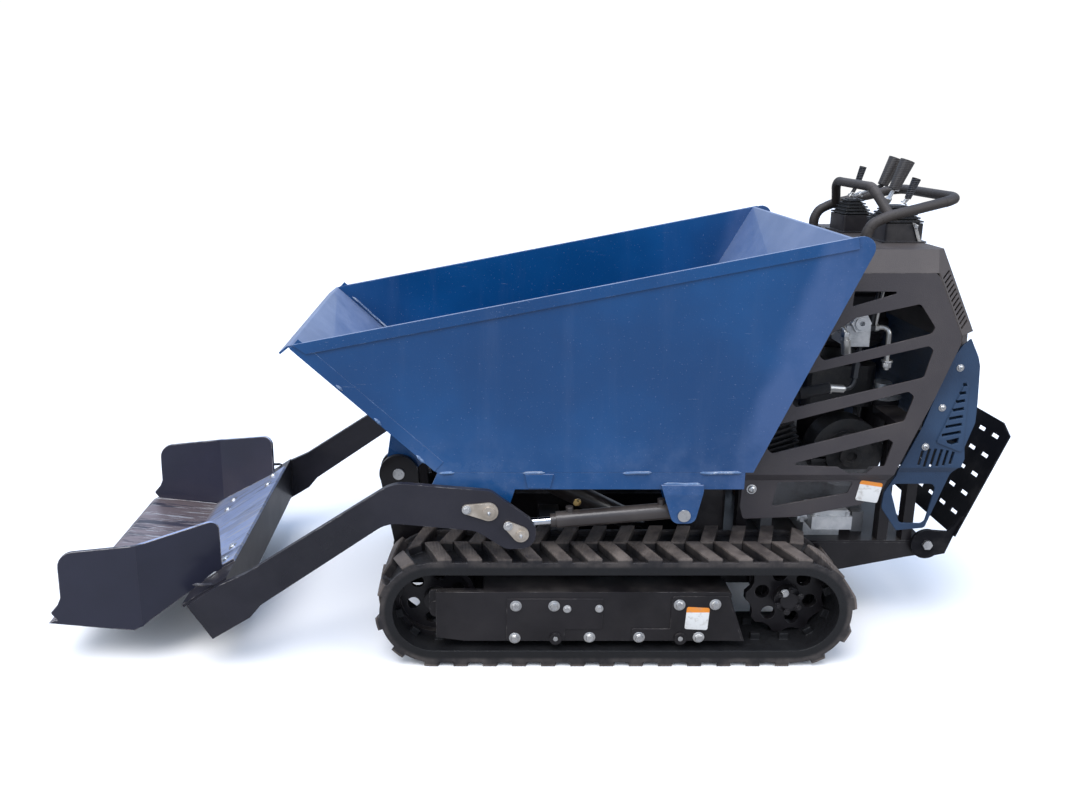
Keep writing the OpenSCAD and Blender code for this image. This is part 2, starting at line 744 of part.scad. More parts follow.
module hood_top() color(grey) {
  difference() {
    hood_room(0);
    hood_room(hood_t);
    // room for the guard panels, which carry the hood
    both() intersection() {
      translate([hood_x1 - 200, hood_y - hood_t - seat, screen_z0 - 10])
        cube([500, hood_t + 1, hood_zb + seat - screen_z0 + 10]);
      translate([hood_x1, 0, hood_z1]) rotate([0, screen_a, 0])
        translate([screen_cham - hood_t, 0, -400]) cube([600, 400, 500]);
    }
    // fine slots between the ribs of the two corners
    both() translate([hood_x1, hood_y - screen_cham, hood_z1]) rotate([0, screen_a, 0]) rotate([0, 0, 45])
      for (k = [0 : rib_n - 1])
        translate([12, -10, -56 - k * 12]) cube([46, 20, 6]);
  }
}

// the rear guard's side, with and without its rear edge moved in
function rear_pts(d) = [
  [-1003, 790], [-977, 751], [-931, 588], [-887, 480], [d - 1036, 480], [d - 1043, 503],
  [d - 1039, 533], [d - 1057, 597], [d - 1056, 647], [d - 1050, 740], [d - 1043, 763], [-1021, 806]];

module rear_guard() color(blue) {
  difference() {
    union() {
      difference() {
        plate(-rear_y, 2 * rear_y) polygon(rear_pts(0));
        plate(rear_t - rear_y, 2 * (rear_y - rear_t)) polygon(concat(
          [[-800, 820], [-800, 460]],
          [for (k = [4 : 10]) rear_pts(rear_t)[k] - [0, k == 4 ? 20 : 0]],
          [[rear_t - 1024, 820]]));
      }
      both() {
        // raised field round the louvres
        plate(rear_y - 1, 4) polygon(fillet([[-1028, 722], [-967, 547], [-1034, 520]], 6));
        // lower frame, set in behind a fold
        translate([-1050, 0, 0]) intersection() {
          translate([1050, 0, 0]) plate(rear_y - 20, 20) polygon(soft([
            [-886, 484, 0], [-885, 459, 8], [-858, 411, 20], [-856, 371, 20], [-899, 310, 6],
            [-969, 317, 10], [-1015, 459, 10], [-1034, 484, 0]]));
          rotate([90, 0, 90]) linear_extrude(220) polygon([
            [rear_y - rear_t, 484], [rear_y - rear_t, 480], [rear_y - rear_t - 7, 466],
            [rear_y - rear_t - 7, 300], [rear_y - 7, 300], [rear_y - 7, 466], [rear_y, 480], [rear_y, 484]]);
        }
      }
    }
    both() {
      plate(rear_y - 20, 30) polygon(fillet([[-869, 435], [-986, 435], [-967, 328], [-904, 330]], 14));
      // louvres, each wider than the one above
      for (k = [0 : louvre_n - 1]) {
        l = 8 + k * 6.3;
        translate([-1024, rear_y - 8, 690 - k * louvre_pitch]) rotate([0, 11, 0]) cube([l, 16, 8]);
      }
      // last one, cut to a point
      plate(rear_y - 8, 16) polygon([[-1021, 560], [-990, 552], [-996, 544], [-1008, 541], [-1020, 545]]);
      // upright slots
      for (k = [0 : 5]) {
        h = [38, 48, 48, 45, 40, 33][k];
        translate([-935 - k * 15.2, rear_y - 8, 506]) rotate([0, -10, 0])
          translate([-3.5, 0, -h / 2]) cube([7, 16, h]);
      }
    }
  }
}

// soft pad across the back of the rear guard
module rear_pad() color([0.6, 0.58, 0.62]) {
  plate(-180, 360) polygon(soft([
    [-1056.8, 735, 0], [-1056.8, 640, 0], [-1057.3, 600, 0], [-1066, 588, 6],
    [-1086, 603, 14], [-1088, 676, 30], [-1072, 722, 20]]));
}

module handlebar() color(grey) {
  side = [
    [-790, grip_y, hood_z1 + seat], [-790, grip_y, hood_z1 + 27], [-802, grip_y, hood_z1 + 50],
    [-836, grip_y, hood_z1 + 67], [-985, grip_y - 10, hood_z1 + 103], [-1005, grip_y - 24, hood_z1 + 108],
    [-1012, grip_y - 50, hood_z1 + 110]];
  hoop = [
    [-845, grip_y - 6, hood_z1 + 68], [-824, grip_y - 48, hood_z1 + 120], [-821, grip_y - 68, hood_z1 + 133]];
  tube(concat(side, mirrored(side)), grip_r);
  tube(concat(hoop, mirrored(hoop)), grip_r - 1);
  both() translate(side[0]) cylinder(r = grip_r + 7, h = 5, $fn = 32);
}

// middle of the far and the near lever box, and their length and width
box_at = [[-864, -103], [-896, 82]];
box_size = [[76, 94], [92, 116]];

module lever_boxes() color(black)
  for (k = [0, 1])
    translate([box_at[k][0], box_at[k][1], hood_z1 + seat]) {
      linear_extrude(3) pad(box_size[k][0] + 18, box_size[k][1] + 18, 6);
      linear_extrude(box_h) pad(box_size[k][0], box_size[k][1], 5);
    }

// a pleated rubber boot, each pleat smaller than the one under it
module lever_boots() color(black)
  for (k = [0, 1])
    translate([box_at[k][0], box_at[k][1], hood_z1 + box_h + 2 * seat])
      for (i = [0 : pleat_n - 1]) {
        f = 1.04 - i * 0.56 / pleat_n;
        l = box_size[k][0] * f;
        w = box_size[k][1] * f;
        translate([0, 0, i * pleat_h]) linear_extrude(pleat_h + (i < pleat_n - 1 ? 0.5 : 0)) pad(l - 16, w - 16, 6);
        translate([0, 0, i * pleat_h + pleat_h / 2 - 1.5]) linear_extrude(3) pad(l, w, 10);
      }

boot_z = hood_z1 + box_h + 3 * seat + pleat_n * pleat_h;

// a lever: rod from the boot to the grip, grip from g to h with radii r and s
module lever(a, g, h, r, s) {
  bar(a, g, 5);
  bar(g, h, r, 32, s);
  bar(a, a + (g - a) * 0.2, 8);
}

module drive_levers() color(black) {
  lever([-866, -88, boot_z + 7.2], [-910, -35, 1145], [-938, -35, 1214], 13, 18);
  lever([-880, 66, boot_z + 7.2], [-913, 23, 1138], [-941, 23, 1211], 13, 18);
}

module function_levers() color(black) {
  lever([-862, -116, boot_z + 3.4], [-874, -110, 1138], [-887, -110, 1189], 7.5, 9);
  lever([-906, 98, boot_z + 4.6], [-914, 100, 1122], [-931, 100, 1171], 7.5, 10.5);
}

// tub outline in side view, counter-clockwise from the floor's rear end
tub_pts = [[floor_x1, tub_z0], [floor_x0, tub_z0], [rim_x0, rim_z0], [rim_x1, rim_z1]];
// the same outline carried on above the rim, for the hollow
hollow_pts = inset([tub_pts[0], tub_pts[1], tub_pts[2] * 1.4 - tub_pts[1] * 0.4, tub_pts[3] * 1.4 - tub_pts[0] * 0.4], tub_t);
// directions of the front sheet, the rim, the rear sheet and the lip
front_u = dir(tub_pts[1], tub_pts[2]);
rim_u = dir(tub_pts[2], tub_pts[3]);
rear_u = dir(tub_pts[0], tub_pts[3]);
lip_u = [cos(lip_a), -sin(lip_a)];
// one bent sheet: lip, front, floor and rear
band_pts = [
  tub_pts[3], tub_pts[0], tub_pts[1],
  tub_pts[2] - front_u * tub_t, tub_pts[2] - front_u * tub_t + lip_u * lip_w, tub_pts[2] + lip_u * lip_w,
  tub_pts[2], tub_pts[2] + rim_u * tub_t / abs(cross(front_u, rim_u)),
  hollow_pts[1], hollow_pts[0],
  tub_pts[3] - rim_u * tub_t / abs(cross(rear_u, rim_u))
];
// the side sheets' rear edge and its corner with the rim
function side_rear(z) = [skirt_x1 - (z - skirt_z0) * tan(side_lean), z];
side_edge_u = dir(side_rear(skirt_z0), side_rear(rim_z1));
side_corner = tub_pts[2] + rim_u * cross(side_rear(tub_z0) - tub_pts[2], side_edge_u) / cross(rim_u, side_edge_u);

module tub() color(blue) {
  plate(-tub_y + tub_t, 2 * (tub_y - tub_t)) polygon(band_pts);
  both() {
    plate(tub_y - tub_t, tub_t) polygon(concat(
      [side_rear(tub_z0), tub_pts[1], tub_pts[2]],
      round_corner(tub_pts[2], side_corner, side_rear(tub_z0), side_corner_r, 8)));
    // the rim's folded band, lying on the side sheet
    plate(tub_y - tub_t + 1, tub_t + 3) polygon([
      tub_pts[2] + rim_u * 12 + up(rim_u) * 1,
      side_corner - rim_u * 62 + up(rim_u) * 1,
      side_corner - rim_u * 62 - up(rim_u) * rim_band,
      tub_pts[2] + rim_u * (12 + rim_band) - up(rim_u) * rim_band]);
    // the front sheet's flange, lying on the side sheet
    plate(tub_y - tub_t + 1, tub_t) polygon([
      tub_pts[1] + front_u * 6 + up(front_u) * front_flange,
      tub_pts[1] + front_u * 6 - up(front_u) * 1,
      tub_pts[2] - front_u * 8 - up(front_u) * 1,
      tub_pts[2] - front_u * 8 + up(front_u) * front_flange]);
  }
}

module tub_skirts() color(blue) {
  top = tub_z0 - seat;
  both() {
    difference() {
      union() {
        plate(tub_y - skirt_t, skirt_t) polygon([
          [floor_x0 - 2, top], [skirt_x0, skirt_z0], [arm_px + 52, skirt_z0], [arm_px + 30, arm_pz - 23],
          [arm_px - 22, arm_pz - 27], [arm_px - 52, arm_pz + 7], [arm_px - 62, skirt_z0],
          [skirt_x1, skirt_z0], [skirt_x1, top]]);
        ypin(arm_px, tub_y - 1, arm_pz, 24, arm_y0 - side_gap - tub_y + 1, 48);
      }
      ypin(arm_px, tub_y - 30, arm_pz, arm_pin_r + pin_fit, 60);
    }
    // small bent tab
    plate(tub_y - 1, 5) polygon([[-28, top - 3], [39, top - 3], [32, skirt_z0 + 4], [-20, skirt_z0 + 4]]);
  }
}

ear_top = skirt_z0 + 12;

// outline of the ears that hold an arm cylinder
module ear_side() {
  polygon(soft([
    [ear_x + 56, ear_top, 0], [ear_x - 44, ear_top, 0], [ear_x - 44, ear_top - 14, 0],
    [ear_x - 26, ear_z - 21, 20], [ear_x + 26, ear_z - 21, 20], [ear_x + 52, ear_top - 14, 0]]));
}

module cylinder_ears() color(blue) both() {
  // outer ear, bent away from the skirt it is welded to
  difference() {
    intersection() {
      plate(tub_y, 20) ear_side();
      translate([ear_x - 80, tub_y, 0]) rotate([90, 0, 90]) linear_extrude(160) polygon([
        [seat, ear_top + 1], [7, ear_top + 1], [10, skirt_z0 - 10], [10, 300], [2, 300],
        [2, skirt_z0 - 10], [seat, skirt_z0]]);
    }
    ypin(ear_x, tub_y - 1, ear_z, 11 + pin_fit, 20);
  }
  // inner ear with its flange to the skirt
  difference() {
    union() {
      plate(ear_y0, 10) ear_side();
      translate([ear_x - 40, ear_y0 + 5, skirt_z0 + seat])
        cube([90, tub_y - skirt_t - seat - ear_y0 - 5, tub_z0 - channel_h - skirt_z0 - 3 * seat]);
    }
    ypin(ear_x, ear_y0 - 1, ear_z, 11 + pin_fit, 12);
  }
}

module tub_crossmembers() color(blue) {
  y = tub_y - skirt_t - seat;
  z0 = tub_z0 - channel_h;
  // channels, open at the foot
  for (x = channel_x)
    difference() {
      translate([x - 20, -y, z0]) cube([40, 2 * y, channel_h - seat]);
      translate([x - 14, -y - 1, z0 - 1]) cube([28, 2 * y + 2, channel_h - 6]);
    }
  // ears of the tipping cylinder
  both() difference() {
    plate(22, 10) polygon(soft([
      [tip_tx - 40, z0 + 1, 0], [tip_tx - 24, tip_tz - 22, 18], [tip_tx + 24, tip_tz - 22, 18],
      [tip_tx + 66, z0 + 1, 0], [tip_tx + 66, tub_z0 - 1, 0], [tip_tx - 160, tub_z0 - 1, 0],
      [tip_tx - 160, z0 + 1, 0]]));
    ypin(tip_tx, 10, tip_tz, 12, 40);
  }
}

// lugs that turn on the pins between the chassis lobes
module tub_lugs() color(blue) both() {
  y = lobe_y - 29;
  low = tub_pts[1] + [-seat, -seat];
  difference() {
    plate(y, 12) union() {
      translate([pivot_x, pivot_z]) circle(r = 36, $fn = 64);
      polygon([
        [pivot_x + 36, pivot_z], [pivot_x + 8, 608], [pivot_x - 120, tub_z0 - seat],
        [pivot_x - 36, pivot_z]]);
    }
    ypin(pivot_x, y - 1, pivot_z, pivot_pin_r + pin_fit, 16);
    // clear of the sloping front sheet
    plate(y - 1, 16) polygon([
      low, low + front_u * 460, low + [-200, 310], low + [-200, 0]]);
  }
}

module tub_pins() color(steel) both() {
  ypin(ear_x, ear_y0 - 4, ear_z, 11, tub_y + 14 - ear_y0);
  ypin(ear_x, tub_y + 10.3, ear_z, 15, 4);
  ypin(pivot_x, lobe_y - 48, pivot_z, pivot_pin_r, 52);
}

shovel_bend = [shovel_bend_x, shovel_bend_z];
shovel_dir = [-cos(shovel_back_a), sin(shovel_back_a)];
shovel_up = [shovel_dir[1], -shovel_dir[0]];
shovel_back = shovel_bend + shovel_dir * shovel_back_l;
shovel_tip = shovel_bend + shovel_floor * [cos(shovel_floor_a), sin(shovel_floor_a)];
arm_pin = [arm_px, arm_pz];
arm_lug = [arm_lx, arm_lz];

// a point u up the shovel's back plate and d under it
function behind(u, d) = shovel_bend + shovel_dir * u - shovel_up * d;

// the arm plate in side view
module arm_side() {
  polygon(soft([
    with(behind(166, 6), 0), with(behind(266, 4), 20), [700, 263, 80], [arm_px + 223, arm_pz + 70, 90],
    with(arm_pin + [-4, 50], 34), with(arm_lug + [-20, 38], 30), with(arm_lug + [-36, 14], 24),
    with(arm_lug + [-35, -arm_eye + 2], 36), with(arm_lug + [34, -arm_eye], 40),
    with(arm_pin + [30, -50], 60), [362, 393, 80], [670, 180, 30], with(behind(276, arm_foot + 2), 20),
    with(behind(166, arm_foot), 0)], 6));
}

module loader_arms() color(black) both() {
  difference() {
    plate(arm_y0, arm_t) arm_side();
    ypin(arm_px, arm_y0 - 1, arm_pz, arm_pin_r, 40);
    ypin(arm_lx, arm_y0 - 1, arm_lz, 11, 40);
  }
}

// bent plate between the arms: a flange under the shovel and a web down behind it
module arm_crossbeam() color(black) {
  a = behind(150, seat);
  b = behind(shovel_back_l, seat);
  c = behind(shovel_back_l, 9 + seat);
  web = [b[0] + 9, c[1] + 9 * shovel_dir[1] / shovel_dir[0]];
  plate(seat - arm_y0, 2 * (arm_y0 - seat)) polygon([
    a, b, [b[0], 122], [b[0] + 9, 122], web, behind(150, 9 + seat)]);
  // gussets between flange and web, beside each arm
  both() plate(arm_y0 - 60, 8) polygon([
    behind(170, 8), behind(shovel_back_l - 6, 8), [b[0] + 4, 130], [b[0] + 20, 124]]);
}

// the shovel's inside in plan, d further in
module shovel_plan(d) {
  x = shovel_bend_x - cheek_in;
  x1 = shovel_bend_x - cheek_l;
  polygon([
    [1300, d - shovel_y0], [1300, shovel_y0 - d], [x, shovel_y0 - d], [x1, shovel_y1 - d],
    [x1 - 80, shovel_y1 + 14 - d], [x1 - 80, d - shovel_y1 - 14], [x1, d - shovel_y1], [x, d - shovel_y0]]);
}

module cheek() {
  x = shovel_bend_x - cheek_in;
  a = atan((shovel_y0 - shovel_y1) / (cheek_l - cheek_in));
  l = (cheek_l - cheek_in) / cos(a);
  top = shovel_bend_z + 226;
  // straight front part
  plate(shovel_y0 - shovel_t, shovel_t) polygon(soft([
    with(shovel_tip + [-24, 6], 0), with(shovel_tip + [-8, 28], 6), with(shovel_tip + [-28, 51], 10),
    with(shovel_tip + [-36, 69], 10), with(shovel_tip + [-38, 186], 42), [x, top, 0],
    [x, shovel_bend_z + 12, 0], [shovel_bend_x, shovel_bend_z + 4, 0]], 6));
  // toed-in rear part
  translate([x, shovel_y0, 0]) rotate([0, 0, a]) plate(-shovel_t, shovel_t) polygon(soft([
    [2, top, 0], [-l, top + 38, 24], [-l, shovel_bend_z + 134, 0], [2, shovel_bend_z + 20, 0]], 6));
}

module shovel() color(black) {
  intersection() {
    plate(-shovel_y0, 2 * shovel_y0) polygon([
      shovel_tip, shovel_tip + [-16, shovel_t], shovel_bend + [4, shovel_t],
      shovel_back + shovel_up * shovel_t, shovel_back, shovel_bend]);
    linear_extrude(600) shovel_plan(0);
  }
  both() cheek();
}

// teardrop plate that locks a pin, from the pin centre to a small bolt
module lock_plate(p, q, r1, r2, y) {
  l = norm(q - p);
  a = acos((r1 - r2) / l);
  t = atan2(q[1] - p[1], q[0] - p[0]);
  big = [for (k = [0 : 12]) let (b = t + a + k * (360 - 2 * a) / 12) p + r1 * [cos(b), sin(b)]];
  small = [for (k = [0 : 8]) let (b = t - a + k * 2 * a / 8) q + r2 * [cos(b), sin(b)]];
  plate(y, 6) polygon(concat(big, small));
}

module arm_pin_locks() color(steel) both() {
  y = arm_y0 + arm_t;
  ypin(arm_px, tub_y - skirt_t - 4, arm_pz, arm_pin_r, y - tub_y + skirt_t + 4 + 10);
  ypin(arm_lx, cyl_y + 19, arm_lz, 11, y - cyl_y - 19 + 10);
  lock_plate(arm_pin, arm_pin + [52, 6], 22, 11, y + 0.01);
  lock_plate(arm_lug, arm_lug + [30, 22], 19, 10, y + 0.01);
}

module barrel_body() {
  a = atan2(arm_lz - ear_z, arm_lx - ear_x);
  translate([ear_x, cyl_y, ear_z]) rotate([0, -a, 0]) {
    difference() {
      union() {
        translate([cyl_back, 0, 0]) rotate([0, 90, 0]) cylinder(r = cyl_r, h = cyl_front - cyl_back, $fn = 48);
        rotate([90, 0, 0]) translate([0, 0, -16]) cylinder(r = 20, h = 32, $fn = 48);
        translate([0, -14, -14]) cube([cyl_back + 4, 28, 28]);
        // gland nut and the two oil ports
        translate([cyl_front - 1, 0, 0]) rotate([0, 90, 0]) cylinder(r = cyl_r - 4, h = 15, $fn = 48);
        for (x = [cyl_back + 22, cyl_front - 34])
          translate([x, 0, cyl_r - 6]) cylinder(r = 9, h = 18, $fn = 24);
      }
      translate([cyl_back + 20, 0, 0]) rotate([0, 90, 0]) cylinder(r = rod_r + 0.3, h = cyl_front, $fn = 32);
      rotate([90, 0, 0]) translate([0, 0, -20]) cylinder(r = 11 + pin_fit, h = 40, $fn = 32);
    }
  }
}

module rod_body() {
  a = atan2(arm_lz - ear_z, arm_lx - ear_x);
  l = norm([arm_lx - ear_x, arm_lz - ear_z]);
  translate([ear_x, cyl_y, ear_z]) rotate([0, -a, 0]) {
    translate([cyl_back + 30, 0, 0]) rotate([0, 90, 0]) cylinder(r = rod_r, h = l - cyl_back - 40, $fn = 32);
    translate([l, 0, 0]) rotate([90, 0, 0]) translate([0, 0, -14]) cylinder(r = 18, h = 28, $fn = 48);
  }
}

module arm_cylinder_left() color(grey) barrel_body();
module arm_cylinder_right() color(grey) mirror([0, 1, 0]) barrel_body();
module arm_rod_left() color(steel) rod_body();
module arm_rod_right() color(steel) mirror([0, 1, 0]) rod_body();

tip_a = atan2(tip_tz - tip_bz, tip_tx - tip_bx);
tip_l = norm([tip_tx - tip_bx, tip_tz - tip_bz]);

module tip_cylinder() color(black) translate([tip_bx, 0, tip_bz]) rotate([0, -tip_a, 0]) difference() {
  union() {
    translate([26, 0, 0]) rotate([0, 90, 0]) cylinder(r = tip_r, h = tip_front - 26, $fn = 48);
    rotate([90, 0, 0]) translate([0, 0, -tip_r]) cylinder(r = 24, h = 2 * tip_r, $fn = 48);
    translate([0, -16, -18]) cube([32, 32, 36]);
    translate([tip_front - 1, 0, 0]) rotate([0, 90, 0]) cylinder(r = tip_r - 6, h = 15, $fn = 48);
  }
  translate([60, 0, 0]) rotate([0, 90, 0]) cylinder(r = 15.3, h = tip_front, $fn = 32);
  rotate([90, 0, 0]) translate([0, 0, -40]) cylinder(r = 12 + pin_fit, h = 80, $fn = 32);
}

module tip_rod() color(steel) translate([tip_bx, 0, tip_bz]) rotate([0, -tip_a, 0]) {
  translate([70, 0, 0]) rotate([0, 90, 0]) cylinder(r = 15, h = tip_l - 85, $fn = 32);
  translate([tip_l, 0, 0]) rotate([90, 0, 0]) translate([0, 0, -15]) cylinder(r = 22, h = 30, $fn = 48);
}

module tip_bracket() color(black) {
  y0 = tip_r + 6;
  w = beam_y - beam_t - seat;
  both() difference() {
    plate(y0, 10) polygon(soft([
      [tip_bx - 34, beam_z0 + 54, 0], [tip_bx + 34, beam_z0 + 54, 0], [tip_bx + 22, tip_bz + 24, 18],
      [tip_bx - 22, tip_bz + 24, 18]]));
    ypin(tip_bx, y0 - 10, tip_bz, 12 + pin_fit, 40);
  }
  ypin(tip_bx, -y0 - 14, tip_bz, 12, 2 * y0 + 28);
  translate([tip_bx - 34, -w, beam_z0 + 30]) cube([68, 2 * w, 25]);
}

// a point on the folded platform, u up the plate and w across it
function plat(u, w = 0) = [plat_x0 - u * sin(plat_lean) - w * cos(plat_lean), plat_z0 + u * cos(plat_lean) - w * sin(plat_lean)];

module platform() color(black) {
  translate([plat_x0, 0, plat_z0]) rotate([0, -plat_lean, 0]) {
    // the plate itself lies in the Y Z plane before it leans back
    difference() {
      translate([-plat_t, 0, 0]) rotate([90, 0, 90]) linear_extrude(plat_t)
        polygon([
          [-plat_y, 0], [plat_y, 0], [plat_y, plat_len - plat_flange], [plat_y - 45, plat_len],
          [45 - plat_y, plat_len], [-plat_y, plat_len - plat_flange]]);
      for (c = [0 : 4], r = [0 : 5])
        translate([-plat_t - 1, (r - 2.5) * plat_y * 0.3 - 15, 47 + c * (plat_len - 92) / 4])
          cube([plat_t + 2, 30, 10]);
    }
  }
  both() difference() {
    plate(beam_y + side_gap, 8) union() {
      translate([plat_px, plat_pz]) circle(r = 40, $fn = 64);
      polygon([
        [plat_px + 10, plat_pz - 39], [plat_px - 50, plat_pz - 26], plat(20), plat(60), plat(0) + [14, 10],
        [plat_px - 10, plat_pz + 38]]);
    }
    ypin(plat_px, beam_y, plat_pz, 8 + pin_fit, 30);
  }
}

module platform_pins() color(steel) both() {
  ypin(plat_px, beam_y + 0.3, plat_pz, 8, side_gap + 8 + 1);
  ypin(plat_px, beam_y + side_gap + 8.3, plat_pz, 13, 8, 6);
}

track_left();
track_right();
track_frame_left();
track_frame_right();
sprockets();
idlers();
track_rollers();
drive_motors();
chassis_frame();
pivot_brackets();
tip_bracket();
engine_deck();
platform_pins();
engine();
gearbox();
oil_tank();
valve_block();
hydraulic_pipes();
side_guard_left();
side_guard_right();
hood_top();
rear_guard();
rear_pad();
handlebar();
lever_boxes();
lever_boots();
drive_levers();
function_levers();
tub();
tub_skirts();
cylinder_ears();
tub_crossmembers();
tub_lugs();
tub_pins();
loader_arms();
arm_crossbeam();
shovel();
arm_pin_locks();
arm_cylinder_left();
arm_cylinder_right();
arm_rod_left();
arm_rod_right();
tip_cylinder();
tip_rod();
platform();
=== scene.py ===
"""Looks of a tracked mini site dumper: finishes, fasteners, welds, fittings and blank labels.

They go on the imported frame, section by section: first the finishes of its parts, from the tracks up, then the
pieces added to them. Every length is in metres.
"""

import math

import bpy
import numpy as np
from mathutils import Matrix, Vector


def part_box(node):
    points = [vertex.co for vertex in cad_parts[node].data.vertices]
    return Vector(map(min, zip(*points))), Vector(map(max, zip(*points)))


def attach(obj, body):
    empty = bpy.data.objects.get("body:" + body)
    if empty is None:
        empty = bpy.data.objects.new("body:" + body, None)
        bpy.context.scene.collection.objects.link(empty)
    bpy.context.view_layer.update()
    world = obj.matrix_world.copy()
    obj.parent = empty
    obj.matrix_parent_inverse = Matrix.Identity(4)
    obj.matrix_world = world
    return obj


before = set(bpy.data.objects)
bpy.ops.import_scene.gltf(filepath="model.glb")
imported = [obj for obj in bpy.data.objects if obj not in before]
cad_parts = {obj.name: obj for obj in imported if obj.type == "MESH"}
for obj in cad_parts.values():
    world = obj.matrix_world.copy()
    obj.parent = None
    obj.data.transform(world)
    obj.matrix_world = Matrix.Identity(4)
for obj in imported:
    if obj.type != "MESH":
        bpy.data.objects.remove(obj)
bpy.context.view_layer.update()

# Camera: it stands at the machine's left side, a little above the skip's rim, and looks down at it.
# The lens and its shift are those of the photograph's own frame, 1080 by 810 pixels.
PHOTO_W = 1080
PHOTO_F = 884.3
PHOTO_CX = 476.4
PHOTO_CY = 330.0
PHOTO_H = 810
CAMERA_AT = (0.153, 2.304, 1.313)
CAMERA_PITCH = math.radians(13.41)

camera_data = bpy.data.cameras.new("camera")
camera_data.sensor_width = 36.0
camera_data.lens = PHOTO_F * camera_data.sensor_width / PHOTO_W
camera_data.shift_x = (PHOTO_W / 2 - PHOTO_CX) / PHOTO_W
camera_data.shift_y = (PHOTO_CY - PHOTO_H / 2) / PHOTO_W
camera_data.clip_start = 0.05
camera_data.clip_end = 100.0
camera = bpy.data.objects.new("camera", camera_data)
camera.location = CAMERA_AT
camera.rotation_euler = (math.pi / 2 - CAMERA_PITCH, 0.0, math.pi)
bpy.context.scene.collection.objects.link(camera)
bpy.context.scene.camera = camera


# Studio: a white floor under a soft bright sky, a broad sun over the machine and two weak lamps beside it.
# The sky is blue overhead and dim near the ground, which gloss paint and bare steel pick up. The camera sees
# sky and floor white, while the floor lights the machine like grey paving.
class Wire:
    """One shader socket that can be reckoned with: an operator on it adds a Math node to its tree."""

    def __init__(self, tree, socket=None):
        self.tree = tree
        self.socket = socket

    def node(self, kind, settings=None, feed=None, out=0):
        """Adds any other node: its settings come first, then the values or wires of its sockets."""
        made = self.tree.nodes.new("ShaderNode" + kind)
        for name, value in (settings or {}).items():
            if name == "stops":
                ramp = made.color_ramp.elements
                for place, colour in value[2:]:
                    ramp.new(place)
                for stop, (place, colour) in zip(ramp, value):
                    stop.position = place
                    stop.color = (*colour, 1.0) if len(colour) == 3 else colour
            else:
                setattr(made, name, value)
        for name, value in (feed or {}).items():
            if isinstance(value, Wire):
                self.tree.links.new(value.socket, made.inputs[name])
            elif hasattr(made.inputs[name].default_value, "__len__") and len(value) == 3:
                size = len(made.inputs[name].default_value)
                made.inputs[name].default_value = (*value, 1.0)[:size]
            else:
                made.inputs[name].default_value = value
        return Wire(self.tree, made.outputs[out])

    def maths(self, operation, first, second=0.0):
        return self.node("Math", {"operation": operation}, {0: first, 1: second})

    def __add__(self, other):
        return self.maths("ADD", self, other)

    def __sub__(self, other):
        return self.maths("SUBTRACT", self, other)

    def __rsub__(self, other):
        return self.maths("SUBTRACT", other, self)

    def __mul__(self, other):
        return self.maths("MULTIPLY", self, other)

    def __pow__(self, other):
        return self.maths("POWER", self, other)

    __radd__ = __add__
    __rmul__ = __mul__

    def between(self, low, high):
        """0 below low, 1 above high, with a smooth step between."""
        settings = {"interpolation_type": "SMOOTHSTEP"}
        return self.node("MapRange", settings, {"Value": self, "From Min": low, "From Max": high})

    def blend(self, below, above):
        """The colour below where this is 0, and the colour above where it is 1."""
        return self.node("Mix", {"data_type": "RGBA"}, {0: self, 6: below, 7: above}, out=2)

    def cloud(self, scale, detail=3.0, rough=0.55, stretch=(1.0, 1.0, 1.0)):
        """Soft noise from 0 to 1 at a point, with its grain drawn out along each axis by stretch."""
        spread = self.node("VectorMath", {"operation": "DIVIDE"}, {0: self, 1: stretch})
        sockets = {"Vector": spread, "Scale": scale, "Detail": detail, "Roughness": rough}
        return self.node("TexNoise", {}, sockets)

    def axis(self, letter):
        """One axis of a point."""
        return self.node("SeparateXYZ", {}, {0: self}, out="XYZ".index(letter))

    def wave(self, rate):
        """The sine of this times a rate in radians."""
        return self.maths("SINE", self * rate)

    def size(self):
        """This without its sign."""
        return self.maths("ABSOLUTE", self)


world = bpy.data.worlds.new("soft sky")
bpy.context.scene.world = world
world.use_nodes = True
world.node_tree.nodes.clear()
sky = Wire(world.node_tree)
height = sky.node("TexCoord", out="Generated").axis("Z")
seen = sky.node("LightPath", out="Is Camera Ray")
open_sky = height.node(
    "ValToRGB",
    {"stops": [(0.0, (0.22, 0.22, 0.22)), (0.5, (0.34, 0.36, 0.40)), (0.62, (0.55, 0.64, 0.78)),
               (0.82, (0.82, 1.0, 1.3)), (1.0, (0.60, 0.84, 1.4))]},
    {0: height * 0.5 + 0.5},
)
backdrop = sky.node("Background", {}, {"Color": seen.blend(open_sky, (1.04, 1.04, 1.04)), "Strength": 1.0})
world_out = world.node_tree.nodes.new("ShaderNodeOutputWorld")
world.node_tree.links.new(backdrop.socket, world_out.inputs["Surface"])


def lamp(name, kind, at, aim, power, colour, **settings):
    """A soft lamp that looks from one point at another."""
    data = bpy.data.lights.new(name, kind)
    data.energy = power
    data.color = colour
    for setting, value in settings.items():
        setattr(data, setting, value)
    made = bpy.data.objects.new(name, data)
    made.location = at
    look = np.array(aim, float) - np.array(at, float)
    flat = math.hypot(look[0], look[1])
    made.rotation_euler = (math.pi / 2 + math.atan2(look[2], flat), 0.0, math.atan2(-look[0], look[1]))
    bpy.context.scene.collection.objects.link(made)


lamp("sun_over", "SUN", (0.9, 1.5, 4.0), (0.0, 0.0, 0.5), 2.3, (1.0, 0.97, 0.93), angle=math.radians(38.0))
lamp("lamp_front", "AREA", (3.4, 2.6, 2.2), (0.0, 0.0, 0.5), 45.0, (1.0, 0.98, 0.95), size=1.6)
lamp("lamp_rear", "AREA", (-3.2, 2.4, 2.4), (0.0, 0.0, 0.6), 45.0, (1.0, 0.98, 0.95), size=1.6)


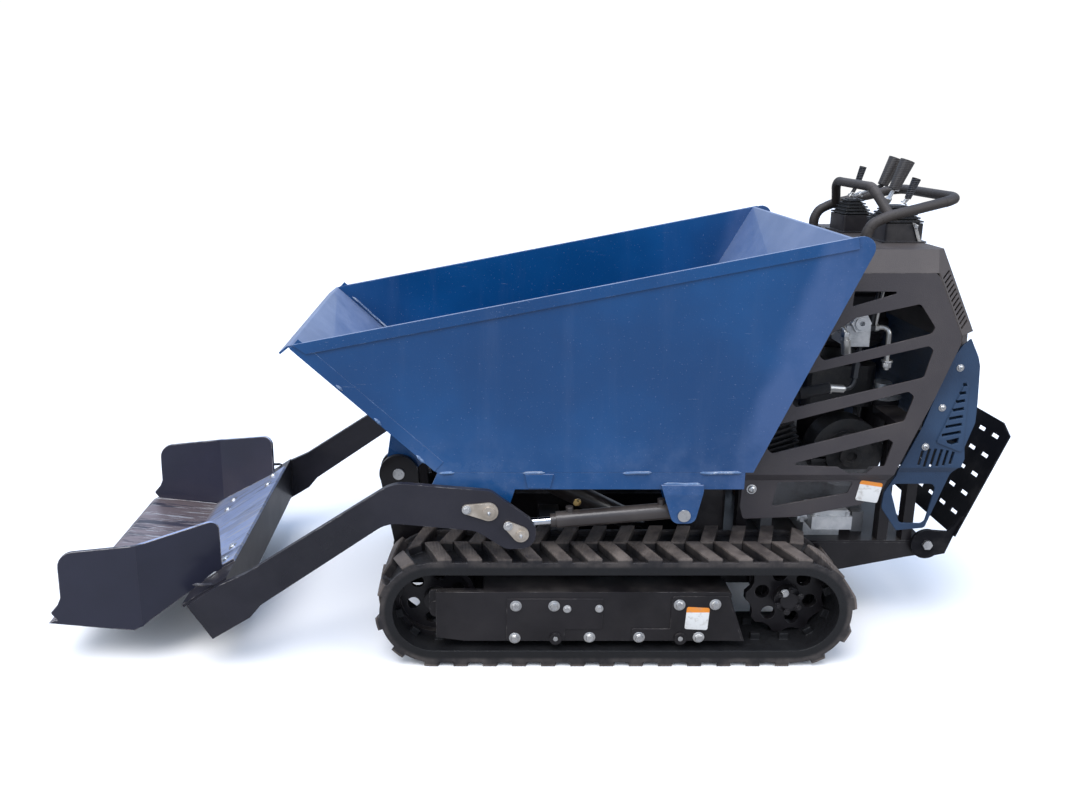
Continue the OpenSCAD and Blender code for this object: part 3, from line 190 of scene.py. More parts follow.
def new_finish(name, **constants):
    """A material, its one Principled shader with the constant sockets set here, and object space."""
    material = bpy.data.materials.new(name)
    material.use_nodes = True
    tree = material.node_tree
    shader = tree.nodes["Principled BSDF"]
    for socket, value in constants.items():
        shader.inputs[socket.replace("_", " ")].default_value = value
    place = Wire(tree, tree.nodes.new("ShaderNodeTexCoord").outputs["Object"])
    return material, shader, place


def feed(shader, place, **wires):
    """Links wires to the shader's sockets by name; bump takes pairs of a height wire and its depth."""
    bumps = wires.pop("bump", [])
    normal = wires.pop("edge", None)
    for height, depth in bumps:
        sockets = {"Height": height, "Distance": depth}
        if normal is not None:
            sockets["Normal"] = normal
        normal = place.node("Bump", {}, sockets)
    if normal is not None:
        place.tree.links.new(normal.socket, shader.inputs["Normal"])
    for socket, wire in wires.items():
        place.tree.links.new(wire.socket, shader.inputs[socket.replace("_", " ")])


FLOOR_R = 14.0

floor_finish, floor_shader, floor_place = new_finish("pale_floor", Roughness=0.7, Specular_IOR_Level=0.1)
floor_mix = floor_place.node("LightPath", out="Is Camera Ray").blend(
    floor_place.cloud(0.8).blend((0.30, 0.29, 0.28), (0.34, 0.33, 0.32)),
    floor_place.cloud(0.8).blend((0.92, 0.91, 0.90), (0.94, 0.93, 0.92)),
)
feed(floor_shader, floor_place, Base_Color=floor_mix)
floor_mesh = bpy.data.meshes.new("floor")
floor_rim = np.linspace(0.0, 2.0 * math.pi, 64, endpoint=False)
floor_points = np.stack([FLOOR_R * np.cos(floor_rim), FLOOR_R * np.sin(floor_rim), np.zeros(64)], 1)
floor_mesh.from_pydata(floor_points.tolist(), [], [list(range(64))])
floor = bpy.data.objects.new("floor", floor_mesh)
floor.data.materials.append(floor_finish)
bpy.context.scene.collection.objects.link(floor)
bpy.context.scene.view_settings.view_transform = "Standard"


# Rubber tracks: steel-cored bands of black rubber with slanted lugs, each moulded in one loop. Grey-brown
# dust is ground into the tops of the lugs, and the pockets between them are coloured darker, as painted shade.
def finish_nodes(material, *names):
    """Gives CAD nodes a finish through their own material slots."""
    for name in names:
        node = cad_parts[name]
        node.data.materials.clear()
        node.data.materials.append(material)


def soft_edge(place, radius, samples=4):
    """A normal rounded over every edge within a radius, as moulded rubber and painted sheet have."""
    return place.node("Bevel", {"samples": samples}, {"Radius": radius})


FRONT_WHEEL_X = 0.255
REAR_WHEEL_X = -0.626
WHEEL_Z = 0.145
LUG_PITCH = 0.072
LUG_TOP_R = 0.1425
BAND_R = 0.118

rubber, rubber_shader, place = new_finish("track_rubber", Specular_IOR_Level=0.4)
x = place.axis("X")
beyond = x - x.maths("MINIMUM", x.maths("MAXIMUM", x, REAR_WHEEL_X), FRONT_WHEEL_X)
across = place.axis("Z") - WHEEL_Z
outward = (beyond * beyond + across * across) ** 0.5
lug_top = outward.between(LUG_TOP_R - 0.004, LUG_TOP_R)
# Painted shade: the pockets between the lugs, near the band, are coloured darker than bare rubber.
pocket_shade = 1.0 - outward.between(BAND_R, BAND_R + 0.010)
dust = place.cloud(14.0, 6.0, 0.62).between(0.34, 0.68)
grooves = x.wave(40.0 * math.pi / LUG_PITCH)
bare = dust.blend((0.016, 0.015, 0.017), (0.064, 0.055, 0.051))
worn = dust.blend((0.078, 0.064, 0.058), (0.220, 0.182, 0.158))
feed(
    rubber_shader,
    place,
    edge=soft_edge(place, 0.0035),
    bump=[
        (place.cloud(34.0, 5.0), 0.003),
        (place.cloud(170.0, 3.0), 0.0006),
        (lug_top * grooves, 0.0005),
    ],
    Base_Color=(lug_top * 0.85).blend(pocket_shade.blend(bare, (0.008, 0.008, 0.009)), worn),
    Roughness=dust * 0.22 + 0.36 + lug_top * 0.14,
)
finish_nodes(rubber, "track_left", "track_right")


# Black enamel: the chassis, track frames and loader, sprayed over cut and welded plate. Dust lies on what
# looks up, and the paint is rubbed through to grey steel along edges, most on the plates that meet spoil.
def edge_mask(place, radius, low=0.06, high=0.22):
    """1 where the surface turns over within a radius, 0 on flat faces."""
    rounded = soft_edge(place, radius)
    straight = place.node("NewGeometry", out="Normal")
    same = place.node("VectorMath", {"operation": "DOT_PRODUCT"}, {0: rounded, 1: straight}, out="Value")
    return (1.0 - same).between(low, high)


def enamel(
    name, dark, light, dust, steel, rough=0.28, coat=0.4, wear=0.5, settled=0.5, wave=0.003, peel=0.0002,
    level=0.5,
):
    """Sprayed paint. Its tone drifts, dust settles where it faces up, and metal shows along worn edges."""
    material, shader, place = new_finish(name, Coat_Roughness=0.1, Coat_Weight=coat, Specular_IOR_Level=level)
    tone = place.cloud(3.0, 5.0, 0.6).between(0.35, 0.68)
    up = place.node("NewGeometry", out="Normal").axis("Z").between(0.25, 0.95)
    film = place.cloud(8.0, 6.0, 0.65).between(0.36, 0.72)
    pale_mix = up * film * settled + film * 0.12 * settled
    pale_edges = edge_mask(place, 0.0028) * place.cloud(26.0, 5.0, 0.7).between(0.5, 0.62) * wear
    paint = tone.blend(dark, light)
    feed(
        shader,
        place,
        edge=soft_edge(place, 0.0016),
        bump=[(place.cloud(2.6, 3.0), wave), (place.cloud(230.0, 2.0), peel)],
        Base_Color=pale_edges.blend(pale_mix.blend(paint, dust), steel),
        Roughness=tone * 0.1 + pale_mix * 0.35 + pale_edges * 0.1 + rough,
        Metallic=pale_edges * 0.8,
    )
    return material


black = enamel(
    "black_enamel", (0.006, 0.005, 0.006), (0.016, 0.014, 0.016), (0.100, 0.088, 0.080), (0.30, 0.28, 0.27),
    rough=0.3, coat=0.12, settled=0.5, wave=0.002, level=0.3,
)
finish_nodes(
    black, "track_frame_left", "track_frame_right", "sprockets", "idlers", "drive_motors",
    "chassis_frame", "pivot_brackets", "tip_bracket", "engine_deck",
)
loader_black = enamel(
    "loader_enamel", (0.009, 0.009, 0.014), (0.018, 0.017, 0.025), (0.110, 0.100, 0.098), (0.46, 0.43, 0.41),
    rough=0.26, coat=0.25, wear=0.85, settled=0.35, wave=0.002, level=0.35,
)
finish_nodes(loader_black, "loader_arms", "arm_crossbeam")
barrel_paint = enamel(
    "barrel_paint", (0.026, 0.021, 0.020), (0.048, 0.040, 0.037), (0.16, 0.135, 0.12), (0.40, 0.37, 0.34),
    rough=0.28, coat=0.35, wear=0.3, settled=0.4, wave=0.0005, level=0.4,
)
finish_nodes(barrel_paint, "arm_cylinder_left", "arm_cylinder_right", "tip_cylinder")

# Shovel: one bent steel sheet welded between two cheeks, its paint scoured off inside by the spoil. Streaks
# run up the sheet from the tip, and its back is bright steel coloured pale sky blue, a painted reflection of
# the sky.
SHOVEL_BEND = (0.991, 0.092)
SHOVEL_TOP = (0.752, 0.246)
SHOVEL_IN = 0.357
SHEET_T = 0.008
CHEEK_FOLD_X = 0.969

shovel_steel, shovel_shader, place = new_finish("scoured_shovel_sky_reflection", Coat_Roughness=0.15, Coat_Weight=0.15)
normal = place.node("NewGeometry", out="Normal")
x = place.axis("X")
side = place.axis("Y").size()
inside = (1.0 - side.between(SHOVEL_IN - 0.002, SHOVEL_IN + 0.002)) * normal.axis("Z").between(0.3, 0.6)
back = 1.0 - x.between(SHOVEL_BEND[0] - 0.03, SHOVEL_BEND[0] + 0.006)
streak = place.cloud(7.0, 6.0, 0.62, (3.4, 0.55, 3.4))
fine_streak = place.cloud(42.0, 4.0, 0.6, (6.0, 0.35, 6.0))
left_paint = streak.between(0.56, 0.61) * (1.0 - back * 0.65) + fine_streak.between(0.58, 0.62) * 0.75
scratch = place.cloud(30.0, 5.0, 0.7, (5.0, 0.25, 5.0)).between(0.56, 0.6)
floor_tone = streak.blend((0.20, 0.145, 0.14), (0.36, 0.295, 0.30))
# Painted reflection: the back sheet's steel is coloured pale sky blue, as the sky mirrored in it.
sky_reflection_tone = fine_streak.blend((0.34, 0.41, 0.62), (0.52, 0.60, 0.84))
steel_and_sky_reflection = scratch.blend(back.blend(floor_tone, sky_reflection_tone), (0.60, 0.58, 0.58))
painted = place.cloud(6.0, 5.0).blend((0.010, 0.011, 0.021), (0.021, 0.022, 0.042))
off_fold = (x - CHEEK_FOLD_X).size().between(0.010, 0.016)
rim_rub = edge_mask(place, 0.004, 0.05, 0.16) * place.cloud(18.0, 5.0, 0.7).between(0.36, 0.52) * off_fold
scoured = inside * (1.0 - left_paint.maths("MINIMUM", left_paint, 0.92))
feed(
    shovel_shader,
    place,
    edge=soft_edge(place, 0.0016),
    bump=[(place.cloud(5.0, 4.0), 0.004), (fine_streak * inside, 0.0006), (scratch * inside, 0.0004)],
    Base_Color=rim_rub.blend(scoured.blend(painted, steel_and_sky_reflection), (0.50, 0.46, 0.44)),
    Metallic=scoured * 0.72 + rim_rub * 0.2,
    Roughness=0.26 + scoured * 0.1 + place.cloud(22.0, 4.0) * 0.12,
)
finish_nodes(shovel_steel, "shovel")

# Blue enamel: the skip and what is welded to it, folded and seam-welded sheet in a deep blue. Rain has left
# pale runs down its sides, the side sheets are paler behind their shallow crease as a painted sheen, and the
# sheets that look up are paled by dry dust and a painted sky reflection. Edges are paled by wear and a painted
# highlight.
SKIP_FLOOR_Z = 0.505
CREASE_FOOT = (-0.475, 0.574)
CREASE_SLOPE = -0.102 / 0.361

blue, blue_shader, place = new_finish(
    "blue_enamel", Coat_Roughness=0.06, Coat_Weight=0.4, Specular_IOR_Level=0.42
)
up = place.node("NewGeometry", out="Normal").axis("Z").between(0.12, 0.75)
tone = place.cloud(1.7, 4.0, 0.6).between(0.32, 0.7)
runs = place.cloud(9.0, 6.0, 0.65, (0.8, 0.8, 7.0)).between(0.5, 0.78)
film = place.cloud(7.0, 6.0, 0.68).between(0.38, 0.74)
low_down = 1.0 - place.axis("Z").between(SKIP_FLOOR_Z - 0.02, SKIP_FLOOR_Z + 0.14)
speck = place.cloud(210.0, 3.0, 0.6).between(0.66, 0.72)
scratch = place.cloud(24.0, 6.0, 0.75, (3.0, 3.0, 0.18)).between(0.66, 0.69)
# Up-facing sheets blend to pale blue-grey: partly dust, partly a painted sky reflection.
pale_mix = up * (film * 0.4 + 0.58) + runs * 0.07 + low_down * film * 0.2 + speck * 0.25
# Edges blend to pale blue: partly wear, partly a painted edge highlight.
pale_edges = edge_mask(place, 0.003) * place.cloud(24.0, 5.0, 0.7).between(0.52, 0.64)
crease = CREASE_FOOT[0] + (place.axis("Z") - CREASE_FOOT[1]) * CREASE_SLOPE
crease = crease + (place.cloud(5.0, 4.0) - 0.5) * 0.09
# Painted sheen: the side sheets are coloured paler behind the crease, where they turn towards the light.
crease_sheen = (crease - place.axis("X")).between(-0.02, 0.03) * place.cloud(4.0, 5.0, 0.65).between(0.25, 0.6)
paint = tone.blend((0.002, 0.045, 0.150), (0.004, 0.073, 0.225))
paint = (crease_sheen * 0.6).blend(paint, (0.062, 0.118, 0.270))
paint = (scratch * 0.5).blend(pale_mix.blend(paint, (0.215, 0.265, 0.395)), (0.10, 0.17, 0.32))
feed(
    blue_shader,
    place,
    edge=soft_edge(place, 0.0018),
    bump=[(place.cloud(2.3, 3.0), 0.007), (place.cloud(240.0, 2.0), 0.00018), (scratch, 0.0002)],
    Base_Color=(pale_edges * 0.7).blend(paint, (0.16, 0.27, 0.47)),
    Roughness=tone * 0.08 + pale_mix * 0.4 + 0.2,
)
finish_nodes(blue, "tub", "tub_skirts", "cylinder_ears", "tub_crossmembers", "tub_lugs")

# Guards, hood and handlebar: folded sheet and bent tube under a charcoal powder coat, whose baked grain
# catches the light. The hood's coat is a little paler and browner, and the handlebar's is the darkest.
powder = {}
for name, dark, light, rough in (
    ("charcoal_powder", (0.036, 0.031, 0.034), (0.050, 0.044, 0.048), 0.42),
    ("hood_powder", (0.046, 0.037, 0.034), (0.072, 0.058, 0.052), 0.40),
    ("bar_powder", (0.020, 0.016, 0.014), (0.036, 0.029, 0.025), 0.46),
):
    powder[name], shader, place = new_finish(name, Specular_IOR_Level=0.45)
    grain = place.cloud(650.0, 1.5)
    film = place.cloud(6.0, 6.0, 0.65).between(0.36, 0.74)
    up = place.node("NewGeometry", out="Normal").axis("Z").between(0.3, 0.95)
    pale_edges = edge_mask(place, 0.0025) * place.cloud(30.0, 5.0, 0.7).between(0.52, 0.62)
    tone = place.cloud(3.5, 4.0).blend(dark, light)
    dusty = (film * (up * 0.35 + 0.12)).blend(tone, (0.16, 0.135, 0.12))
    feed(
        shader,
        place,
        edge=soft_edge(place, 0.0016),
        bump=[(place.cloud(3.0, 2.0), 0.002), (grain, 0.0005)],
        Base_Color=(pale_edges * 0.6).blend(dusty, (0.20, 0.18, 0.17)),
        Roughness=grain * 0.14 + film * 0.1 + rough,
    )
finish_nodes(powder["charcoal_powder"], "side_guard_left", "side_guard_right")
finish_nodes(powder["hood_powder"], "hood_top")
finish_nodes(powder["bar_powder"], "handlebar")

# Rear guard and its pad: a moulded shell in dark blue-grey with a leather grain, screwed on behind the side
# guards, and a pale rubber buffer across its back.
guard_finish, shader, place = new_finish("guard_moulding", Specular_IOR_Level=0.45)
leather = place.node("TexVoronoi", {}, {"Vector": place, "Scale": 420.0})
tone = place.cloud(4.0, 5.0).between(0.35, 0.7)
feed(
    shader,
    place,
    edge=soft_edge(place, 0.003),
    bump=[(place.cloud(3.0, 2.0), 0.002), (leather, 0.0004)],
    Base_Color=tone.blend((0.014, 0.034, 0.074), (0.026, 0.058, 0.118)),
    Roughness=tone * 0.1 + 0.36,
)
finish_nodes(guard_finish, "rear_guard")
pad_finish, shader, place = new_finish("pad_rubber", Specular_IOR_Level=0.35)
scuff = place.cloud(16.0, 6.0, 0.7).between(0.45, 0.75)
feed(
    shader,
    place,
    edge=soft_edge(place, 0.003),
    bump=[(place.cloud(260.0, 2.0), 0.0004)],
    Base_Color=scuff.blend((0.42, 0.43, 0.45), (0.26, 0.26, 0.27)),
    Roughness=scuff * 0.15 + 0.55,
)
finish_nodes(pad_finish, "rear_pad")

# Platform: one pressed plate with punched slots, hung on its hinge pins. Its semi-gloss black is scuffed by
# boots and rubbed bare along its edges.
footplate, shader, place = new_finish("footplate_black", Specular_IOR_Level=0.12)
scuff = place.cloud(11.0, 6.0, 0.7).between(0.48, 0.72)
pale_edges = edge_mask(place, 0.0022) * place.cloud(40.0, 5.0, 0.7).between(0.5, 0.6)
feed(
    shader,
    place,
    edge=soft_edge(place, 0.0015),
    bump=[(place.cloud(180.0, 3.0), 0.0003)],
    Base_Color=(pale_edges * 0.7).blend(
        scuff.blend((0.006, 0.006, 0.008), (0.020, 0.019, 0.020)), (0.12, 0.12, 0.12)
    ),
    Roughness=scuff * 0.2 + 0.3,
)
finish_nodes(footplate, "platform")


# Bare and plated metal: turned pins and rollers in zinc, cut lock plates in yellow zinc, blocks of cast
# aluminium and the cylinders' ground and chromed rods.
def metal(name, dark, light, rough, metallic=0.9, pits=0.0003, scale=90.0):
    """Metal with a drifting tone, fine pits and a faint bloom of dirt."""
    material, shader, place = new_finish(name)
    tone = place.cloud(30.0, 5.0, 0.6).between(0.35, 0.68)
    dirt = place.cloud(12.0, 6.0, 0.7).between(0.55, 0.8)
    feed(
        shader,
        place,
        edge=soft_edge(place, 0.001),
        bump=[(place.cloud(scale, 4.0), pits)],
        Base_Color=(dirt * 0.5).blend(tone.blend(dark, light), (0.10, 0.085, 0.07)),
        Roughness=tone * 0.1 + dirt * 0.25 + rough,
        Metallic=metallic - dirt * 0.4,
    )
    return material


zinc = metal("zinc_plate", (0.50, 0.50, 0.50), (0.68, 0.67, 0.65), 0.26)
cream_zinc = metal("yellow_zinc", (0.42, 0.36, 0.29), (0.60, 0.53, 0.45), 0.32, 0.55)
cast = metal("cast_aluminium", (0.50, 0.51, 0.52), (0.66, 0.66, 0.66), 0.4, 0.7, 0.0008, 240.0)
chrome = metal("hard_chrome", (0.62, 0.63, 0.65), (0.72, 0.72, 0.73), 0.1, 1.0, 0.00005)
brass = metal("brass", (0.48, 0.31, 0.11), (0.62, 0.43, 0.18), 0.28)
finish_nodes(zinc, "tub_pins", "platform_pins", "track_rollers")
finish_nodes(cream_zinc, "arm_pin_locks")
finish_nodes(cast, "valve_block", "gearbox")
finish_nodes(chrome, "arm_rod_left", "arm_rod_right", "tip_rod")

# Hydraulic lines: one node that holds a braided hose, crimped silver ends and painted pipes.
# The hose is the length ahead of its crimp; its braid is two crossing sets of fine strands.
CRIMP_X = (-0.744, -0.706)
ELBOW_X = -0.812

lines, shader, place = new_finish("hydraulic_lines", Specular_IOR_Level=0.5)
x = place.axis("X")
z = place.axis("Z")
hose = x.between(CRIMP_X[1] - 0.001, CRIMP_X[1] + 0.001)
painted_pipe = (1.0 - x.between(CRIMP_X[0] - 0.003, CRIMP_X[0])) * x.between(ELBOW_X, ELBOW_X + 0.002)
bright = (1.0 - hose) * (1.0 - painted_pipe)
silver = place.cloud(40.0).blend((0.42, 0.41, 0.39), (0.62, 0.60, 0.56))
braid = (x + z).wave(2600.0) * (x - z).wave(2600.0)
feed(
    shader,
    place,
    edge=soft_edge(place, 0.001),
    bump=[(braid * hose, 0.0006), (place.cloud(120.0, 3.0), 0.0002)],
    Base_Color=bright.blend((0.014, 0.014, 0.016), silver),
    Metallic=bright * 0.85,
    Roughness=0.3 + hose * 0.2 + place.cloud(60.0) * 0.1,
)
finish_nodes(lines, "hydraulic_pipes")

# Engine: pressed cowls in satin black bolted over a cast grey crankcase, with a rust-stained exhaust on the
# far side. Oil and dust have settled on all of it.
ENGINE_SPLIT_Z = 0.442
ENGINE_EXHAUST_X = -0.71
ENGINE_EXHAUST_Y = -0.07

engine_finish, shader, place = new_finish("engine_parts", Specular_IOR_Level=0.5)
metal_part = 1.0 - place.axis("Z").between(ENGINE_SPLIT_Z - 0.002, ENGINE_SPLIT_Z)
far_side = 1.0 - place.axis("Y").between(ENGINE_EXHAUST_Y - 0.004, ENGINE_EXHAUST_Y)
exhaust = far_side * place.axis("X").between(ENGINE_EXHAUST_X - 0.01, ENGINE_EXHAUST_X)
grime = place.cloud(12.0, 6.0, 0.68).between(0.42, 0.74)
rust = place.cloud(26.0, 6.0, 0.7).blend((0.10, 0.045, 0.022), (0.24, 0.12, 0.06))
cowl = grime.blend((0.012, 0.012, 0.013), (0.050, 0.044, 0.040))
case = grime.blend((0.15, 0.15, 0.155), (0.07, 0.062, 0.056))
feed(
    shader,
    place,
    edge=soft_edge(place, 0.002),
    bump=[(place.cloud(140.0, 4.0), 0.0006)],
    Base_Color=exhaust.blend(metal_part.blend(cowl, case), rust),
    Roughness=grime * 0.25 + 0.33 + exhaust * 0.2,
)
finish_nodes(engine_finish, "engine")

# Oil tank and lever boxes: moulded in black plastic with a faint orange-peel skin, and greyed by a film of
# dust.
plastic, shader, place = new_finish("black_plastic", Specular_IOR_Level=0.45)
film = place.cloud(9.0, 5.0).between(0.4, 0.75)
feed(
    shader,
    place,
    edge=soft_edge(place, 0.002),
    bump=[(place.cloud(300.0, 2.0), 0.0003)],
    Base_Color=film.blend((0.020, 0.018, 0.020), (0.060, 0.053, 0.051)),
    Roughness=film * 0.2 + 0.3,
)
finish_nodes(plastic, "oil_tank", "lever_boxes")

# Boots and levers: pleated rubber boots with a pale bloom, and grips pushed on plated rods. The drive levers'
# big grips are smooth, and the function levers' small ones are ribbed.
SMALL_GRIP_Z = 1.122
BIG_GRIP_Z = 1.138
RIB_RATE = 1400.0

boot, shader, place = new_finish("boot_rubber", Specular_IOR_Level=0.5)
bloom = place.cloud(22.0, 5.0, 0.65).between(0.4, 0.75)
feed(
    shader,
    place,
    edge=soft_edge(place, 0.003),
    bump=[(place.cloud(160.0, 3.0), 0.0004)],
    Base_Color=bloom.blend((0.009, 0.009, 0.010), (0.034, 0.032, 0.031)),
    Roughness=bloom * 0.25 + 0.3,
)
finish_nodes(boot, "lever_boots")
for node_name, grip_z, ribbing, dark, light in (
    ("drive_levers", BIG_GRIP_Z, 0.00015, (0.026, 0.023, 0.022), (0.050, 0.044, 0.042)),
    ("function_levers", SMALL_GRIP_Z, 0.0011, (0.012, 0.012, 0.014), (0.028, 0.026, 0.027)),
):
    grip, shader, place = new_finish(node_name.replace("levers", "grips"), Specular_IOR_Level=0.5)
    z = place.axis("Z")
    held = z.between(grip_z - 0.003, grip_z + 0.001)
    ribs = z.wave(RIB_RATE)
    feed(
        shader,
        place,
        edge=soft_edge(place, 0.003),
        bump=[(ribs * held, ribbing), (place.cloud(220.0, 2.0), 0.0004)],
        Base_Color=held.blend((0.55, 0.54, 0.52), place.cloud(30.0).blend(dark, light)),
        Metallic=0.85 - held * 0.85,
        Roughness=0.24 + held * 0.12,
    )
    finish_nodes(grip, node_name)


# Frame fasteners: plated hex bolts with washers, which hold the cover plates of both track frames, and the
# rollers' turned end plugs.
def skin(points):
    """A grid of points (row, column) closed round its columns and capped at both ends, as (points, faces)."""
    rows, sides = points.shape[:2]
    index = np.arange(rows * sides).reshape(rows, sides)
    after = np.roll(index, -1, axis=1)
    quads = np.stack([index[:-1], after[:-1], after[1:], index[1:]], -1).reshape(-1, 4)
    return points.reshape(-1, 3), quads.tolist() + [index[0][::-1].tolist(), index[-1].tolist()]


def turned(profile, at, axis, sides=24, spin=0.0):
    """A profile (radius r, height h) turned about axis a: at + h a + r (cos t u + sin t v), u, v across a."""
    profile = np.array(profile, float)
    axis = np.array(axis, float) / np.linalg.norm(axis)
    first = np.cross(axis, (1.0, 0.0, 0.0) if abs(axis[0]) < 0.8 else (0.0, 0.0, 1.0))
    first /= np.linalg.norm(first)
    turn = spin + np.linspace(0.0, 2.0 * math.pi, sides, endpoint=False)[:, None]
    ring = np.cos(turn) * first + np.sin(turn) * np.cross(axis, first)
    return skin(np.array(at) + profile[:, 0, None, None] * ring + profile[:, 1, None, None] * axis)


def hex_bolt(at, axis, across=0.016, spin=0.2):
    """A flat washer, a chamfered hex head on it and the forged dish in the head's middle."""
    r = across / 2.0 / math.cos(math.pi / 6.0)
    washer = [(0.2 * r, -0.0006), (1.42 * r, -0.0006), (1.45 * r, 0.0003), (1.45 * r, 0.0013),
              (1.40 * r, 0.0016), (0.2 * r, 0.0016)]
    head = [(0.3 * r, 0.001), (0.97 * r, 0.001), (r, 0.0022), (r, 0.72 * r), (0.93 * r, 0.85 * r),
            (0.72 * r, 0.9 * r), (0.60 * r, 0.86 * r), (0.2 * r, 0.84 * r)]
    return [turned(washer, at, axis), turned(head, at, axis, 6, spin)]


def dome_bolt(at, axis, r=0.009):
    """A button head with its hex socket, on a thin washer."""
    arc = [(r * math.cos(t), r * 0.62 * math.sin(t)) for t in np.linspace(0.05, 1.12, 8)]
    head = [(0.3 * r, 0.0)] + [(a, b + 0.0012) for a, b in arc] + [(0.40 * r, 0.55 * r), (0.34 * r, 0.18 * r)]
    washer = [(0.3 * r, -0.0004), (1.3 * r, -0.0004), (1.33 * r, 0.0003), (1.3 * r, 0.0012),
              (0.3 * r, 0.0014)]
    return [turned(washer, at, axis), turned(head, at, axis)]


def piece(name, body, finish, shapes, crease=32.0):
    """Joins shapes, each (points, faces), in one mesh that moves with a body."""
    starts = np.cumsum([0] + [len(points) for points, _ in shapes])
    faces = [[int(start) + k for k in face] for start, (_, some) in zip(starts, shapes) for face in some]
    mesh = bpy.data.meshes.new(name)
    mesh.from_pydata(np.concatenate([points for points, _ in shapes]).tolist(), [], faces)
    mesh.shade_smooth()
    mesh.set_sharp_from_angle(angle=math.radians(crease))
    mesh.materials.append(finish)
    made = bpy.data.objects.new(name, mesh)
    bpy.context.scene.collection.objects.link(made)
    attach(made, body)


def mirror_image(points, faces):
    """The same shape on the other side of the middle plane, with its faces turned outwards again."""
    return points * (1.0, -1.0, 1.0), [face[::-1] for face in faces]


def both_sides(shapes):
    """The shapes and their mirror images."""
    return shapes + [mirror_image(*shape) for shape in shapes]


FRAME_FACE_Y = 0.364
COVER_FACE_Y = 0.367
COVER_BOLTS = [(0.057, 0.161), (-0.036, 0.161), (0.059, 0.074), (-0.341, 0.164), (-0.428, 0.165),
               (-0.246, 0.076), (-0.392, 0.076)]
COVER_SCREWS = [(-0.068, 0.153), (-0.146, 0.154)]
FRAME_BOLTS = [(-0.125, 0.074)]
ROLLER_X = (-0.041, -0.347)
ROLLER_Z = 0.0733
ROLLER_PLUG = [(0.002, 0.0), (0.0068, 0.0), (0.0068, 0.0035), (0.0058, 0.0046), (0.002, 0.0046)]

shapes = []
for k, (x, z) in enumerate(COVER_BOLTS):
    shapes += hex_bolt((x, COVER_FACE_Y, z), (0, 1, 0), 0.017, 0.37 * k)
for k, (x, z) in enumerate(COVER_SCREWS):
    shapes += hex_bolt((x, COVER_FACE_Y, z), (0, 1, 0), 0.012, 0.5 * k)
for x, z in FRAME_BOLTS:
    shapes += hex_bolt((x, FRAME_FACE_Y, z), (0, 1, 0), 0.017, 0.9)
for x in ROLLER_X:
    shapes.append(turned(ROLLER_PLUG, (x, COVER_FACE_Y, ROLLER_Z), (0, 1, 0)))
piece("frame_bolts", "chassis", zinc, both_sides(shapes))

# Sprocket hub: six steel bolts in a ring, painted black with the sprocket that they clamp to the drive
# motor's flange, and the motor's one bright oil plug.
HUB_BOLTS = 6
HUB_BOLT_R = 0.03
HUB_PLUG = (-0.613, 0.167)
hub_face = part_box("sprockets")[1].y

shapes = []
for k in range(HUB_BOLTS):
    turn = 2.0 * math.pi * (k + 0.6) / HUB_BOLTS
    at = (REAR_WHEEL_X + HUB_BOLT_R * math.cos(turn), hub_face, WHEEL_Z + HUB_BOLT_R * math.sin(turn))
    shapes += hex_bolt(at, (0, 1, 0), 0.010, 0.8 * k)
piece("hub_bolts", "chassis", black, both_sides(shapes))
plug_at = (HUB_PLUG[0], hub_face, HUB_PLUG[1])
piece("hub_plugs", "chassis", zinc, both_sides(hex_bolt(plug_at, (0, 1, 0), 0.013, 0.4)))

# Guard fasteners: zinc-plated screws with button heads and hex sockets. One holds each side guard's lower
# front corner, and three hold each side of the rear guard.
GUARD_SCREW = (-0.525, 0.2748, 0.426)
REAR_GUARD_Y = 0.270
REAR_GUARD_SCREWS = [(-1.003, 0.735), (-0.972, 0.635), (-0.943, 0.535)]

shapes = dome_bolt(GUARD_SCREW, (0, 1, 0), 0.0095)
for x, z in REAR_GUARD_SCREWS:
    shapes += dome_bolt((x, REAR_GUARD_Y, z), (0, 1, 0), 0.0068)
piece("guard_screws", "chassis", zinc, both_sides(shapes))

# Pin locks: a zinc-plated bolt through the small end of each teardrop plate, and a turned grease nipple
# screwed into the end of each pin.
LOCK_FACE_Y = 0.401
ARM_PIN = (0.124, 0.423)
LOW_PIN = (0.049, 0.366)
LOCK_BOLTS = [(ARM_PIN[0] + 0.052, ARM_PIN[1] + 0.006), (LOW_PIN[0] + 0.030, LOW_PIN[1] + 0.022)]
NIPPLE = [(0.001, 0.0), (0.0042, 0.0), (0.0042, 0.003), (0.0026, 0.004), (0.0026, 0.006), (0.0034, 0.0072),
          (0.0026, 0.009), (0.001, 0.0096)]
pin_end_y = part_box("arm_pin_locks")[1].y

shapes = []
for k, (x, z) in enumerate(LOCK_BOLTS):
    shapes += hex_bolt((x, LOCK_FACE_Y, z), (0, 1, 0), 0.013, 0.6 * k)
for x, z in (ARM_PIN, LOW_PIN):
    shapes.append(turned(NIPPLE, (x, pin_end_y, z), (0, 1, 0)))
piece("lock_bolts", "loader", zinc, both_sides(shapes))

# Shovel bolts: two rows of zinc-plated bolts with button heads, which hold the shovel's back sheet to the
# arms' cross beam.
SHOVEL_BOLT_Y = (-0.268, -0.20, 0.20, 0.268)
LOW_ROW = 0.098
HIGH_ROW_DOWN = 0.035

back_u = np.array([SHOVEL_TOP[0] - SHOVEL_BEND[0], 0.0, SHOVEL_TOP[1] - SHOVEL_BEND[1]])
back_l = float(np.linalg.norm(back_u))
back_u /= back_l
back_n = np.array([back_u[2], 0.0, -back_u[0]])

shapes = []
for y in SHOVEL_BOLT_Y:
    for s in (LOW_ROW, back_l - HIGH_ROW_DOWN):
        at = np.array([SHOVEL_BEND[0], y, SHOVEL_BEND[1]]) + back_u * s + back_n * SHEET_T
        shapes += dome_bolt(at, back_n, 0.0095)
piece("shovel_bolts", "loader", zinc, shapes)


